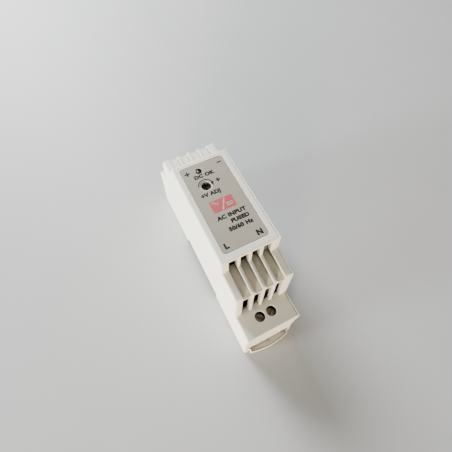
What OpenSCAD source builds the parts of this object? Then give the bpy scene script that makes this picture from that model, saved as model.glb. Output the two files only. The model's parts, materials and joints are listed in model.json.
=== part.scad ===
// Narrow DIN rail power supply, lying on its rail side with the front face up.
// +Z points out of the front face, Y runs along the housing from the AC end (-Y) to the DC end (+Y),
// X is the width along the rail. The origin is the middle of the bounding box, on the rail side plane.
// All lengths are in mm.

/* [Housing] */
// Width of the closed housing along the rail
body_w = 25; // [25:0.1:26]
// Height of the front face above the rail side
body_h = 56; // [56:0.1:57]
// Length of the housing at terminal level
case_len = 93; // [92.5:0.1:93.5]
// Where the middle of that length stands along Y
case_mid = 1.7; // [1.5:0.1:1.9]
// How far the AC end face leans out above the knee near its foot
lean_near = 0.25; // [0.1:0.05:0.35]
// How far the foot of the AC end face stands out at the rail side
flare_near = 1.6; // [1.4:0.1:1.8]
// How far the DC end face leans out at the rail side
flare_far = 0.8; // [0.5:0.1:1.2]
// Thickness of the moulded walls
wall = 1.6; // [1.4:0.1:1.7]
// Thickness of the side cover
cover_t = 1.5; // [1.4:0.1:1.7]
// Thickness of the cover's rim, which covers the edge of the shell
cover_rim_t = 0.6; // [0.5:0.1:0.8]
// Parting gap between the shell and the cover's rim
seam = 0.1; // [0.05:0.05:0.2]

/* [Stepped front] */
// Length of the front face, the part that shows through a panel cut-out
front_len = 45.4; // [44.8:0.1:45.8]
// Where the middle of the stepped front stands along Y
step_mid = 2.75; // [2.6:0.05:2.9]
// How far the foot of the upper step stands out past the front face
front_drop = 0.6; // [0.3:0.1:0.8]
// Height of the shelf at the foot of the upper step
shelf_back_z = 47.9; // [47.6:0.1:48.2]
// Height of the shelf at its outer edge
shelf_edge_z = 46.8; // [46.6:0.1:47]
// Length over both shelves
shelf_len = 69.6; // [69.2:0.1:69.8]
// Length over the feet of both lower steps
foot_len = 72.6; // [72.3:0.1:72.9]
// Height of the terminal level
terminal_z = 27; // [26.8:0.1:27.2]

/* [Cooling channels] */
// Distance from the middle to the inner face of the wide side ribs
side_rib_x = 8.95; // [8.8:0.05:9.1]
// Spacing of the three thin ribs
rib_pitch = 4.8; // [4.7:0.05:4.9]
// Thickness of the thin ribs
rib_w = 1.35; // [1.2:0.05:1.5]
// Depth of the channels below the rib tops
channel_d = 1.5; // [1.3:0.1:1.6]
// Depth of the channels behind the faces of the steps, where the air slots start
channel_wall = 1.4; // [1.2:0.1:1.5]
// Depth of the ribs behind the faces of the steps, where the inside of the housing starts
rib_depth = 1.6; // [1.6:0.1:1.8]
// Thickness of the front plate's overhanging edge
plate_t = 1.2; // [1.1:0.1:1.4]

/* [Front face] */
// Label width
label_w = 18.7; // [18:0.1:19]
// Label length
label_len = 40; // [39:0.5:41]
// Where the middle of the label stands along Y
label_mid = 3.1; // [2.9:0.1:3.3]
// Label thickness
label_t = 0.2; // [0.15:0.05:0.25]
// Label corner radius
label_r = 1.3; // [1:0.1:1.6]
// Depth of the recess that the label lies in
label_recess = 0.3; // [0.3:0.05:0.4]
// Play around the label in its recess
label_play = 0.15; // [0.1:0.05:0.2]
// How much wider the label's trimmer hole is than the housing's
label_ring = 0.35; // [0.3:0.05:0.4]
// Position of the indicator lamp along X
lamp_x = -2.4; // [-2.6:0.1:-2.2]
// Position of the indicator lamp along Y
lamp_y = 19.7; // [19.5:0.1:19.8]
// Radius of the lamp's hole in the housing
lamp_hole_r = 1.7; // [1.65:0.05:1.75]
// Radius of the label's window over the lamp
lamp_window_r = 1.35; // [1.3:0.05:1.4]
// Radius of the lamp
lamp_r = 1.5; // [1.45:0.05:1.55]
// Position of the voltage trimmer along X
trim_x = -2.6; // [-2.8:0.1:-2.4]
// Position of the voltage trimmer along Y
trim_y = 12.1; // [11.9:0.1:12.3]
// Radius of the screwdriver hole over the trimmer
trim_hole_r = 2.05; // [2:0.05:2.1]

/* [Rail seat and latch] */
// Clear length of the slot that the 35 mm rail sits in
rail_slot_len = 35.6; // [35.4:0.1:35.8]
// Where the slot starts, at the latch end
rail_slot_y = -16.5; // [-16.8:0.1:-16.3]
// Height of the seat that the rail's flanges rest on
rail_seat_z = 5.5; // [5.4:0.1:5.6]
// Gap left for the rail's 1 mm flange
flange_gap = 1.2; // [1.1:0.05:1.3]
// How far the fixed hook reaches over the flange
hook_reach = 1.8; // [1.5:0.1:2]
// Height of the hook's lead-in edge
hook_low_z = 1.6; // [1.4:0.1:1.8]
// Width of the latch slide
latch_w = 14; // [13.6:0.1:14.4]
// Width over the latch's guide flanges
latch_flange_w = 16.6; // [16.2:0.1:16.8]
// Width of the latch's pull tab
tab_w = 19.5; // [19:0.1:19.8]
// How far the latch's nose reaches under the rail
nose_reach = 2.5; // [2.2:0.1:2.7]
// Travel of the latch from locked to open
latch_travel = 4; // [3.8:0.1:4.2]

/* [Terminals] */
// Spacing of the two poles of a terminal block
pole_pitch = 5.4; // [5.4:0.05:5.5]
// Position of the AC terminal screws along Y
ac_screw_y = -37.85; // [-38:0.05:-37.7]
// Position of the DC terminal screws along Y
dc_screw_y = 42.6; // [42.5:0.05:42.7]
// Radius of the screwdriver holes in the housing
driver_hole_r = 2.2; // [2.15:0.05:2.25]
// Radius of the wire holes in the end faces
wire_hole_r = 1.9; // [1.8:0.05:2]
// Height of the wire holes above the rail side
wire_z = 15.7; // [15.6:0.05:15.8]
// Radius of a terminal screw's head
head_r = 1.9; // [1.85:0.05:1.95]
// Radius of a terminal screw's shank
shank_r = 1.25; // [1.2:0.01:1.26]
// Travel of a cage clamp from open to closed
cage_travel = 2.4; // [2.2:0.1:2.4]

/* [Circuit board] */
// Thickness of the board
board_t = 1.6; // [1.5:0.1:1.7]
// Distance from the left inner wall to the board
board_gap = 1.5; // [1.4:0.1:1.6]
// Radius of the component leads
lead_r = 0.35; // [0.3:0.05:0.4]

/* [Hidden] */
// Overlap used so that cuts pass cleanly through
over = 0.5;
// Gap between neighbouring pieces that only touch
play = 0.1;
// Facet count at which a circle is a true circle
round_n = 48;

half_w = body_w / 2;
cover_x = half_w - cover_t;
rim_x = half_w - cover_rim_t;
shell_x = rim_x - seam;
cavity_x = half_w - wall;
near_end = case_mid - case_len / 2;
far_end = case_mid + case_len / 2;
near_base = near_end - flare_near;
far_base = far_end + flare_far;
front_half = front_len / 2;
drop_half = front_half + front_drop;
shelf_half = shelf_len / 2;
foot_half = foot_len / 2;
rail_slot_end = rail_slot_y + rail_slot_len;
hook_top_z = rail_seat_z - flange_gap;
hook_y = rail_slot_end - hook_reach;

// The AC end face: its knee, and the top of the foot under which the latch tab lies
knee_z = 10;
foot_top_z = 4.5;
foot_step = 0.45;
foot_top_y = near_end - lean_near - foot_step;

// Channel floor heights at the outer edge and at the back, and the inner faces of the steps
floor_edge_z = shelf_edge_z - channel_d;
floor_back_z = shelf_back_z - channel_d;
plate_low_z = body_h - plate_t;
front_in = front_half - rib_depth;
shelf_in = shelf_half - rib_depth;
foot_in = foot_half - rib_depth;
inner_floor_z = rail_seat_z + wall;

// Edges of the air channels across the width, from the left side rib to the right one
rib_edges = [-side_rib_x,
    for (x = [-rib_pitch, 0, rib_pitch]) each [x - rib_w / 2, x + rib_w / 2],
    side_rib_x];
gaps = [for (i = [0:3]) [rib_edges[2 * i], rib_edges[2 * i + 1]]];

// Latch and spring
ledge_z = 1.4;
channel_top_z = 4.5;
latch_low_z = 0.3;
latch_top_z = 4.25;
flange_low_z = ledge_z + 0.2;
flange_high_z = 3;
latch_play = 0.2;
tab_in_y = foot_top_y - 0.2;
tab_y = -far_base;
tab_bow = 1.4;
tab_bow_r = (tab_w * tab_w / 4 + tab_bow * tab_bow) / (2 * tab_bow);
tab_rim = 0.5;
tab_eye_r = 1.4;
tab_recess = 0.9;
nose_y = rail_slot_y + nose_reach;
nose_ramp = 3.4;
nose_low_z = 2.6;
flange_start_y = -45;
flange_end_y = -21.5;
window_y = -36;
window_len = 14;
window_w = 5;
post_y = window_y + 0.4;
post_len = 1.4;
post_w = 3;
post_low_z = 0.9;
pip_r = 0.7;
pip_len = 1.6;
spring_r = 1.35;
spring_wire_r = 0.22;
spring_z = 2.35;
spring_turns = 9;
spring_y = post_y + post_len + play;
spring_end_y = window_y + window_len - play;

// Terminal block, measured along Y from the screw axis, towards the board
poles = [-pole_pitch / 2, pole_pitch / 2];
block_w = 11.2;
block_front = -3.8;
block_back = 3.3;
block_low_z = 12.3;
block_top_z = terminal_z - wall - 0.2;
pocket_w = 4.9;
pocket_d = 4.9;
pocket_low_z = 13.3;
pocket_top_z = 22;
guide_r = 2.0;
head_low_z = 22.55;
head_h = 1.1;
neck_r = 1.45;
driver_slot_w = 0.6;
driver_slot_d = 0.6;
shank_low_z = 18;
cage_w = 4.5;
cage_d = 4.4;
cage_in_w = 3.1;
cage_low_z = 13.6;
cage_floor_t = 0.8;
cage_top_t = 1.3;
cage_high_z = pocket_top_z - cage_travel - 0.2;
cage_bore_r = shank_r + 0.05;
bar_w = 2.6;
bar_low_z = 17;
bar_t = 0.9;
bar_front = -1.9;
bar_arm_w = 1.2;
bar_arms = [4.65, 6.85];
bar_play = 0.12;
funnel_r = 1.6;
entry_flare_r = 2.4;
entry_flare_d = 0.7;
shelf_low_z = 10.8;
shelf_t = 1.4;
stop_w = 0.8;

// Board and how components stand on it
board_x = -cavity_x + board_gap;
board_face = board_x + board_t;
lead_end = board_x - 0.8;
hole_r = lead_r + 0.15;
stand = board_face + 0.25;
board_edge = 0.6;
board_setback = 2;
board_low_z = inner_floor_z + 0.8;
board_near_y = ac_screw_y + 3.85;
board_far_y = dc_screw_y - 3.85;
board_terminal_z = terminal_z - wall - 0.8;
board_shelf_z = floor_edge_z - wall - board_edge;
board_top_z = body_h - wall - 0.8;
lead_grip = 0.6;
leg_out = 0.6;
leg_w = 1.1;
leg_t = 0.15;
pad_r = 1.6;
pads = [[-26, 10.5], [32, 10.5], [-14.6, 51.4], [20, 51.4]];

// Snap hooks of the cover: position along Y, height of the wall face they catch, and its side
hook_w = 4;
hook_t = 1;
hook_len = 4.4;
barb = 0.5;
barb_len = 1;
hooks = [[-10, body_h - wall, 1], [5, body_h - wall, 1], [-12, inner_floor_z, -1],
    [1.5, inner_floor_z, -1], [36, wall, -1], [-40, terminal_z - wall, 1],
    [43, terminal_z - wall, 1]];

// Component positions on the board, each [Y, Z], and their pin spacings
fuse_at = [-23.4, 37];
fuse_r = 4.2;
fuse_h = 8;
fuse_pitch = 5.08;
ntc_at = [-23.4, 28.2];
ntc_r = 4.3;
ntc_t = 3.4;
disc_pitch = 5;
varistor_at = [-23.4, 22.4];
varistor_r = 4.9;
varistor_t = 3.8;
xcap_at = [-18, 12.6];
xcap_l = 15;
xcap_w = 7.4;
xcap_h = 13;
xcap_pitch = 10;
choke_at = [-8.6, 24.4];
choke_r = 6.4;
choke_hole_r = 3.2;
choke_t = 5;
choke_wire_t = 1.1;
choke_arc = 104;
choke_pin = 4.6;
bridge_at = [-2.4, 12.6];
bridge_l = 6.4;
bridge_w = 8.4;
bridge_h = 3.3;
bridge_pitch = 5.08;
bulk_at = [-9.4, 42.4];
bulk_r = 6.3;
bulk_len = 19;
bulk_pitch = 5;
bulk_band = 0.6;
bulk_vent_r = 3;
switch_at = [9, 13.6];
switch_w = 10;
switch_t = 4.4;
switch_h = 12.4;
switch_pitch = 2.54;
sink_t = 1.5;
sink_w = 11.4;
sink_h = 16;
ic_at = [3.9, 44.4];
ic_l = 6.4;
ic_w = 9.4;
ic_h = 3.3;
ic_pitch = 2.54;
trafo_at = [9.4, 30];
trafo_x = 1.2;
core_l = 19.2;
core_w = 16;
core_t = 5;
core_leg = 4.8;
core_window_l = 4.6;
core_window_w = 11.2;
bobbin_flange_t = 0.8;
bobbin_l = 13.6;
bobbin_t = 14.2;
bobbin_wall = 0.6;
bobbin_gap = 0.12;
coil_inset = 0.5;
trafo_pins = [-5.4, -1.8, 1.8, 5.4];
pin_rail = 1.2;
diode_at = [19.7, 13.6];
diode_w = 10;
diode_t = 4.4;
out_cap_r = 5;
out_cap_h = 15;
out_caps = [[29.2, 13.4], [29.2, 24]];
out_cap_pitch = 5;
inductor_at = [29.4, 35.4];
inductor_r = 4.6;
inductor_h = 11;
inductor_core_r = 2;
inductor_flange_t = 1.4;
inductor_wire_r = 4.1;
opto_at = [19.6, 41.4];
opto_l = 6.5;
opto_w = 4.6;
opto_h = 3.4;
ycap_at = [22.6, 33.4];
ycap_r = 3.8;
ycap_t = 3;
regulator_at = [12.8, 43.4];
regulator_r = 2.4;
regulator_h = 4.8;
resistor_at = [-16.6, 33];
resistor_r = 1.25;
resistor_len = 6.4;
resistor_pitch = 9.6;

// Trimmer and lamp
trim_w = 6.6;
trim_low_z = 48.4;
trim_top_z = 53.4;
trim_bore_r = 2.1;
trim_bore_d = 3;
rotor_flange_r = 2.04;
rotor_flange_h = 2.6;
rotor_r = 1.7;
rotor_top_z = 54.2;
rotor_slot_w = 0.6;
rotor_slot_d = 0.9;
lamp_flange_r = 1.75;
lamp_flange_h = 0.9;
lamp_low_z = 50.3;
lamp_dome_z = 54.1;
lamp_lead_r = 0.25;
lamp_lead_z = 47.8;
lamp_pitch = 1.27;

function near_face(z) = near_end - lean_near * (terminal_z - z) / (terminal_z - knee_z);
function far_face(z) = far_end + flare_far * (terminal_z - z) / terminal_z;
function pair(at, pitch) = [[at[0] - pitch / 2, at[1]], [at[0] + pitch / 2, at[1]]];
function stacked(at, pitch) = [[at[0], at[1] - pitch / 2], [at[0], at[1] + pitch / 2]];
function four(at, dy, dz) = [for (y = [-dy, dy]) for (z = [-dz, dz]) [at[0] + y, at[1] + z]];

fuse_pins = pair(fuse_at, fuse_pitch);
ntc_pins = pair(ntc_at, disc_pitch);
varistor_pins = pair(varistor_at, disc_pitch);
xcap_pins = pair(xcap_at, xcap_pitch);
choke_pins = four(choke_at, choke_pin, choke_pin);
bridge_pins = four(bridge_at, bridge_l / 2 + leg_out, bridge_pitch / 2);
bulk_pins = pair([bulk_at[0], bulk_at[1] - bulk_len / 2 - 1.2], bulk_pitch);
switch_pins = [for (i = [-1:1]) [switch_at[0], switch_at[1] + i * switch_pitch]];
diode_pins = [for (i = [-1:1]) [diode_at[0], diode_at[1] + i * switch_pitch]];
ic_pins = [for (i = [-1.5:1.5]) for (s = [-1, 1])
    [ic_at[0] + s * (ic_l / 2 + leg_out), ic_at[1] + i * ic_pitch]];
trafo_rows = [-1, 1] * (core_window_w / 2 - bobbin_gap - bobbin_flange_t / 2);
trafo_pin_list = [for (z = trafo_rows) for (y = trafo_pins) [trafo_at[0] + y, trafo_at[1] + z]];
out_cap_pins = [for (c = out_caps) each stacked(c, out_cap_pitch)];
inductor_pins = pair(inductor_at, inductor_r);
opto_pins = four(opto_at, opto_l / 2 + leg_out, ic_pitch / 2);
ycap_pins = stacked(ycap_at, disc_pitch);
regulator_pins = stacked(regulator_at, switch_pitch);
resistor_pins = stacked(resistor_at, resistor_pitch);
trim_pins = stacked([trim_y, trim_low_z + trim_w / 2 - 1], switch_pitch);
lamp_pins = pair([lamp_y, lamp_lead_z], 2 * lamp_pitch);
all_pins = concat(fuse_pins, ntc_pins, varistor_pins, xcap_pins, choke_pins, bridge_pins,
    bulk_pins, switch_pins, diode_pins, ic_pins, trafo_pin_list, out_cap_pins, inductor_pins,
    opto_pins, ycap_pins, regulator_pins, resistor_pins, trim_pins, lamp_pins);

outer_points = [
    [near_base, 0],
    [foot_top_y, foot_top_z],
    [near_face(knee_z), knee_z],
    [near_end, terminal_z],
    [step_mid - foot_half, terminal_z],
    [step_mid - shelf_half, shelf_edge_z],
    [step_mid - drop_half, shelf_back_z],
    [step_mid - front_half, body_h],
    [step_mid + front_half, body_h],
    [step_mid + drop_half, shelf_back_z],
    [step_mid + shelf_half, shelf_edge_z],
    [step_mid + foot_half, terminal_z],
    [far_end, terminal_z],
    [far_base, 0],
    [hook_y + hook_low_z, 0],
    [hook_y, hook_low_z],
    [hook_y, hook_top_z],
    [rail_slot_end, hook_top_z],
    [rail_slot_end, rail_seat_z],
    [rail_slot_y, rail_seat_z],
    [rail_slot_y, 0]];

// The inside of the shell, drawn in by a gap for what fits into it
function cavity_points(gap) = [
    [near_face(inner_floor_z) + wall + gap, inner_floor_z + gap],
    [near_end + wall + gap, terminal_z - wall - gap],
    [step_mid - foot_in + gap, terminal_z - wall - gap],
    [step_mid - shelf_in + gap, floor_edge_z - wall - gap],
    [step_mid - front_in + gap, floor_back_z - wall - gap],
    [step_mid - front_in + gap, body_h - wall - gap],
    [step_mid + front_in - gap, body_h - wall - gap],
    [step_mid + front_in - gap, floor_back_z - wall - gap],
    [step_mid + shelf_in - gap, floor_edge_z - wall - gap],
    [step_mid + foot_in - gap, terminal_z - wall - gap],
    [far_end - wall - gap, terminal_z - wall - gap],
    [far_face(wall) - wall - gap, wall + gap],
    [rail_slot_end + wall + gap, wall + gap],
    [rail_slot_end + wall + gap, inner_floor_z + gap]];

board_points = [
    [board_near_y, board_low_z],
    [board_near_y, board_terminal_z],
    [step_mid - shelf_in + board_setback, board_terminal_z],
    [step_mid - shelf_in + board_setback, board_shelf_z],
    [step_mid - front_in + board_setback, board_shelf_z],
    [step_mid - front_in + board_setback, board_top_z],
    [step_mid + front_in - board_setback, board_top_z],
    [step_mid + front_in - board_setback, board_shelf_z],
    [step_mid + shelf_in - board_setback, board_shelf_z],
    [step_mid + shelf_in - board_setback, board_terminal_z],
    [board_far_y, board_terminal_z],
    [board_far_y, board_low_z]];

// A box given by its limits along X, Y and Z
module span(x, y, z) {
    translate([x[0], y[0], z[0]])
        cube([x[1] - x[0], y[1] - y[0], z[1] - z[0]]);
}

// A side-view outline, drawn in Y and Z, run along X
module along_x(x0, x1) {
    translate([x0, 0, 0])
        rotate([90, 0, 90])
            linear_extrude(x1 - x0)
                children();
}

module rod_x(x0, x1, at, r) {
    translate([x0, at[0], at[1]])
        rotate([0, 90, 0])
            cylinder(r = r, h = x1 - x0, $fn = round_n);
}

module rod_y(x, y0, y1, z, r) {
    translate([x, y0, z])
        rotate([-90, 0, 0])
            cylinder(r = r, h = y1 - y0, $fn = round_n);
}

module rod_z(x, y, z0, z1, r) {
    translate([x, y, z0])
        cylinder(r = r, h = z1 - z0, $fn = round_n);
}

// Leads from a component at height x1 over the board, down through the board's holes
module leads(pins, x1) {
    for (p = pins)
        rod_x(lead_end, x1, p, lead_r);
}

// A plate with rounded corners
module rounded_plate(w, l, r, z0, z1) {
    span([-w / 2 + r, w / 2 - r], [label_mid - l / 2, label_mid + l / 2], [z0, z1]);
    span([-w / 2, w / 2], [label_mid - l / 2 + r, label_mid + l / 2 - r], [z0, z1]);
    for (sx = [-1, 1])
        for (sy = [-1, 1])
            rod_z(sx * (w / 2 - r), label_mid + sy * (l / 2 - r), z0, z1, r);
}

// Places a terminal's pieces, drawn with the screw axis at Y = 0 and the board towards +Y
module at_ac() {
    translate([0, ac_screw_y, 0])
        children();
}

module at_dc() {
    translate([0, dc_screw_y, 0])
        mirror([0, 1, 0])
            children();
}

// The air channels and slots of one end, as outlines by distance from the middle of the steps
module vent_outline(side) {
    polygon([for (p = [
        [shelf_half + over, floor_edge_z],
        [shelf_half, floor_edge_z],
        [front_half - channel_wall, floor_back_z],
        [front_half - channel_wall, floor_back_z - wall - over],
        [front_in - over, floor_back_z - wall - over],
        [front_in - over, plate_low_z],
        [drop_half + over, plate_low_z],
        [drop_half + over, shelf_back_z + over],
        [shelf_half + over, shelf_back_z + over]])
        [step_mid + side * p[0], p[1]]]);
    polygon([for (p = [
        [foot_half + over, terminal_z],
        [foot_half - channel_wall, terminal_z],
        [foot_half - channel_wall, terminal_z - wall - over],
        [shelf_in - over, terminal_z - wall - over],
        [shelf_in - over, floor_edge_z - wall],
        [foot_half + over, floor_edge_z - wall]])
        [step_mid + side * p[0], p[1]]]);
}

module snap_hook(h) {
    face = h[1] - h[2] * latch_play;
    tip = cover_x - hook_len;
    z = [min(face, face - h[2] * hook_t), max(face, face - h[2] * hook_t)];
    catch_z = [min(face - h[2] * play, face + h[2] * barb), max(face - h[2] * play, face + h[2] * barb)];
    span([tip, cover_x + play], [h[0] - hook_w / 2, h[0] + hook_w / 2], z);
    span([tip, tip + barb_len], [h[0] - hook_w / 2, h[0] + hook_w / 2], catch_z);
}

module hook_pocket(h) {
    depth = barb + play - latch_play;
    tip = cover_x - hook_len;
    z = [min(h[1] - h[2] * over, h[1] + h[2] * depth), max(h[1] - h[2] * over, h[1] + h[2] * depth)];
    span([tip - latch_play, tip + barb_len + latch_play],
        [h[0] - hook_w / 2 - latch_play, h[0] + hook_w / 2 + latch_play], z);
}

module latch_tunnel() {
    low = latch_w / 2 + latch_play;
    high = latch_flange_w / 2 + latch_play;
    mouth = tab_w / 2 + latch_play;
    span([-mouth, mouth], [near_base - over, foot_top_y], [-over, foot_top_z]);
    span([-low, low], [near_base - over, rail_slot_y + over], [-over, ledge_z + over]);
    span([-high, high], [near_base - over, rail_slot_y + over], [ledge_z, channel_top_z]);
}

// Holes in the housing for one terminal block: two for the screwdriver, two for the wires
module terminal_holes(reach) {
    for (x = poles) {
        rod_z(x, 0, terminal_z - wall - over, terminal_z + over, driver_hole_r);
        rod_y(x, -reach - over, -reach + 2 * wall, wire_z, wire_hole_r);
    }
}

module wire_funnels(reach) {
    for (x = poles)
        translate([x, -reach - play, wire_z])
            rotate([-90, 0, 0])
                cylinder(r1 = entry_flare_r, r2 = wire_hole_r, h = entry_flare_d + play, $fn = round_n);
}

// Shelf and stops that hold one terminal block in the shell
module block_seat(reach) {
    span([-cavity_x - play, block_w / 2], [-reach + wall / 2, block_back],
        [shelf_low_z, shelf_low_z + shelf_t]);
    for (s = [-1, 1])
        span([s * block_w / 2 - stop_w / 2, s * block_w / 2 + stop_w / 2],
            [-reach + wall / 2, block_front - play], [shelf_low_z, block_top_z]);
}

module main_shell() {
    color("whitesmoke") {
        difference() {
            along_x(-half_w, shell_x)
                polygon(outer_points);
            along_x(-cavity_x, half_w)
                polygon(cavity_points(0));
            for (g = gaps)
                along_x(g[0], g[1]) {
                    vent_outline(-1);
                    vent_outline(1);
                }
            rounded_plate(label_w + 2 * label_play, label_len + 2 * label_play, label_r + label_play,
                body_h - label_recess, body_h + over);
            rod_z(lamp_x, lamp_y, body_h - wall - over, body_h + over, lamp_hole_r);
            rod_z(trim_x, trim_y, body_h - wall - over, body_h + over, trim_hole_r);
            at_ac() {
                terminal_holes(ac_screw_y - near_face(wire_z));
                wire_funnels(ac_screw_y - near_face(wire_z));
            }
            at_dc() {
                terminal_holes(far_face(wire_z) - dc_screw_y);
                wire_funnels(far_face(wire_z) - dc_screw_y);
            }
            latch_tunnel();
            for (h = hooks)
                hook_pocket(h);
        }
        for (p = pads)
            rod_x(-cavity_x - play, board_x - play, p, pad_r);
        at_ac()
            block_seat(ac_screw_y - near_face(block_low_z));
        at_dc()
            block_seat(far_face(block_low_z) - dc_screw_y);
        span([-post_w / 2, post_w / 2], [post_y, post_y + post_len], [post_low_z, channel_top_z + play]);
        rod_y(0, post_y, post_y + post_len + pip_len, spring_z, pip_r);
    }
}

module side_cover() {
    color("whitesmoke") {
        along_x(rim_x, half_w)
            polygon(outer_points);
        along_x(cover_x, half_w - play)
            polygon(cavity_points(play));
        for (h = hooks)
            snap_hook(h);
    }
}

module front_label() {
    low = body_h - label_recess + play / 2;
    color("lightgray")
        difference() {
            rounded_plate(label_w, label_len, label_r, low, low + label_t);
            rod_z(lamp_x, lamp_y, low - over, body_h + over, lamp_window_r);
            rod_z(trim_x, trim_y, low - over, body_h + over, trim_hole_r + label_ring);
        }
}

module din_latch() {
    color("whitesmoke")
        difference() {
            union() {
                along_x(-latch_w / 2, latch_w / 2)
                    polygon([
                        [tab_in_y - play, latch_low_z],
                        [nose_y - nose_ramp, latch_low_z],
                        [nose_y, nose_low_z],
                        [nose_y, latch_top_z],
                        [tab_in_y - play, latch_top_z]]);
                span([-latch_flange_w / 2, latch_flange_w / 2], [flange_start_y, flange_end_y],
                    [flange_low_z, flange_high_z]);
                intersection() {
                    rod_z(0, tab_y + tab_bow_r, latch_low_z, latch_top_z, tab_bow_r);
                    span([-tab_w / 2, tab_w / 2], [tab_y - over, tab_in_y], [latch_low_z, latch_top_z]);
                }
            }
            span([-window_w / 2, window_w / 2], [window_y, window_y + window_len],
                [latch_low_z - over, latch_top_z + over]);
            difference() {
                intersection() {
                    rod_z(0, tab_y + tab_bow_r, latch_top_z - tab_recess, latch_top_z + over,
                        tab_bow_r - tab_rim);
                    span([-tab_w / 2 + tab_rim, tab_w / 2 - tab_rim], [tab_y, tab_in_y + play],
                        [latch_top_z - tab_recess, latch_top_z + over]);
                }
                difference() {
                    rod_z(0, tab_in_y, latch_low_z, latch_top_z - tab_recess / 2, tab_eye_r);
                    rod_z(0, tab_in_y, latch_low_z, latch_top_z, tab_eye_r - tab_rim);
                }
            }
        }
}

// Closed rings joined by a spine wire stand for the coil, because the coil is too fine to matter
module latch_spring() {
    step = (spring_end_y - spring_y - 2 * spring_wire_r) / (spring_turns - 1);
    color("silver") {
        for (i = [0:spring_turns - 1])
            translate([0, spring_y + spring_wire_r + i * step, spring_z])
                rotate([-90, 0, 0])
                    rotate_extrude($fn = round_n)
                        translate([spring_r, 0])
                            circle(r = spring_wire_r, $fn = round_n);
        rod_y(spring_r, spring_y + spring_wire_r, spring_end_y - spring_wire_r, spring_z,
            spring_wire_r / 2);
    }
}

module board_slots() {
    for (a = bar_arms)
        span([board_x - over, board_face + over], [a - bar_play, a + bar_arm_w + bar_play],
            [bar_low_z - bar_play, bar_low_z + bar_t + bar_play]);
}

module main_board() {
    color("darkgreen")
        difference() {
            along_x(board_x, board_face)
                polygon(board_points);
            for (p = all_pins)
                rod_x(board_x - over, board_face + over, p, hole_r);
            at_ac()
                board_slots();
            at_dc()
                board_slots();
        }
}

module terminal_block() {
    color("darkseagreen")
        difference() {
            span([-block_w / 2, block_w / 2], [block_front, block_back], [block_low_z, block_top_z]);
            for (x = poles) {
                span([x - pocket_w / 2, x + pocket_w / 2], [-pocket_d / 2, pocket_d / 2],
                    [pocket_low_z, pocket_top_z]);
                rod_z(x, 0, head_low_z - play / 2, block_top_z + over, guide_r);
                rod_z(x, 0, pocket_top_z - over, head_low_z, neck_r);
                rod_y(x, block_front - over, 0, wire_z, funnel_r);
                span([x - bar_w / 2 - bar_play, x + bar_w / 2 + bar_play], [0, block_back + over],
                    [bar_low_z - bar_play, bar_low_z + bar_t + bar_play]);
            }
        }
}

module ac_terminal_block() {
    at_ac()
        terminal_block();
}

module dc_terminal_block() {
    at_dc()
        terminal_block();
}

// The strip that runs from inside a cage to the board
module contact(x, arm) {
    z = [bar_low_z, bar_low_z + bar_t];
    color("goldenrod") {
        span([x - bar_w / 2, x + bar_w / 2], [bar_front, arm + bar_arm_w], z);
        span([lead_end, x + bar_w / 2], [arm, arm + bar_arm_w], z);
    }
}

module ac_contact_l() {
    at_ac()
        contact(poles[0], bar_arms[0]);
}

module ac_contact_n() {
    at_ac()
        contact(poles[1], bar_arms[1]);
}

module dc_contact_pos() {
    at_dc()
        contact(poles[0], bar_arms[0]);
}

module dc_contact_neg() {
    at_dc()
        contact(poles[1], bar_arms[1]);
}

module terminal_screw(x, turn) {
    top = head_low_z + head_h;
    color("silver")
        translate([x, 0, 0])
            difference() {
                union() {
                    rod_z(0, 0, head_low_z, top, head_r);
                    rod_z(0, 0, shank_low_z + play, head_low_z + play, shank_r);
                }
                rotate([0, 0, turn])
                    span([-head_r - over, head_r + over], [-driver_slot_w / 2, driver_slot_w / 2],
                        [top - driver_slot_d, top + over]);
            }
}

module ac_screw_l() {
    at_ac()
        terminal_screw(poles[0], -50);
}

module ac_screw_n() {
    at_ac()
        terminal_screw(poles[1], 35);
}

module dc_screw_pos() {
    at_dc()
        terminal_screw(poles[0], 70);
}

module dc_screw_neg() {
    at_dc()
        terminal_screw(poles[1], 10);
}

module cage(x) {
    color("gainsboro")
        translate([x, 0, 0])
            difference() {
                span([-cage_w / 2, cage_w / 2], [-cage_d / 2, cage_d / 2], [cage_low_z, cage_high_z]);
                span([-cage_in_w / 2, cage_in_w / 2], [-cage_d / 2 - over, cage_d / 2 + over],
                    [cage_low_z + cage_floor_t, cage_high_z - cage_top_t]);
                rod_z(0, 0, cage_high_z - cage_top_t - over, cage_high_z + over, cage_bore_r);
            }
}

module ac_cage_l() {
    at_ac()
        cage(poles[0]);
}

module ac_cage_n() {
    at_ac()
        cage(poles[1]);
}

module dc_cage_pos() {
    at_dc()
        cage(poles[0]);
}

module dc_cage_neg() {
    at_dc()
        cage(poles[1]);
}

module trimmer_body() {
    color("royalblue") {
        difference() {
            span([trim_x - trim_w / 2, trim_x + trim_w / 2], [trim_y - trim_w / 2, trim_y + trim_w / 2],
                [trim_low_z, trim_top_z]);
            rod_z(trim_x, trim_y, trim_top_z - trim_bore_d, trim_top_z + over, trim_bore_r);
        }
        leads(trim_pins, trim_x - trim_w / 2 + lead_grip);
    }
}

module trimmer_rotor() {
    low = trim_top_z - trim_bore_d + play;
    color("ivory")
        difference() {
            union() {
                rod_z(trim_x, trim_y, low, low + rotor_flange_h, rotor_flange_r);
                rod_z(trim_x, trim_y, low, rotor_top_z, rotor_r);
            }
            span([trim_x - rotor_slot_w / 2, trim_x + rotor_slot_w / 2],
                [trim_y - rotor_r - over, trim_y + rotor_r + over],
                [rotor_top_z - rotor_slot_d, rotor_top_z + over]);
        }
}

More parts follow.
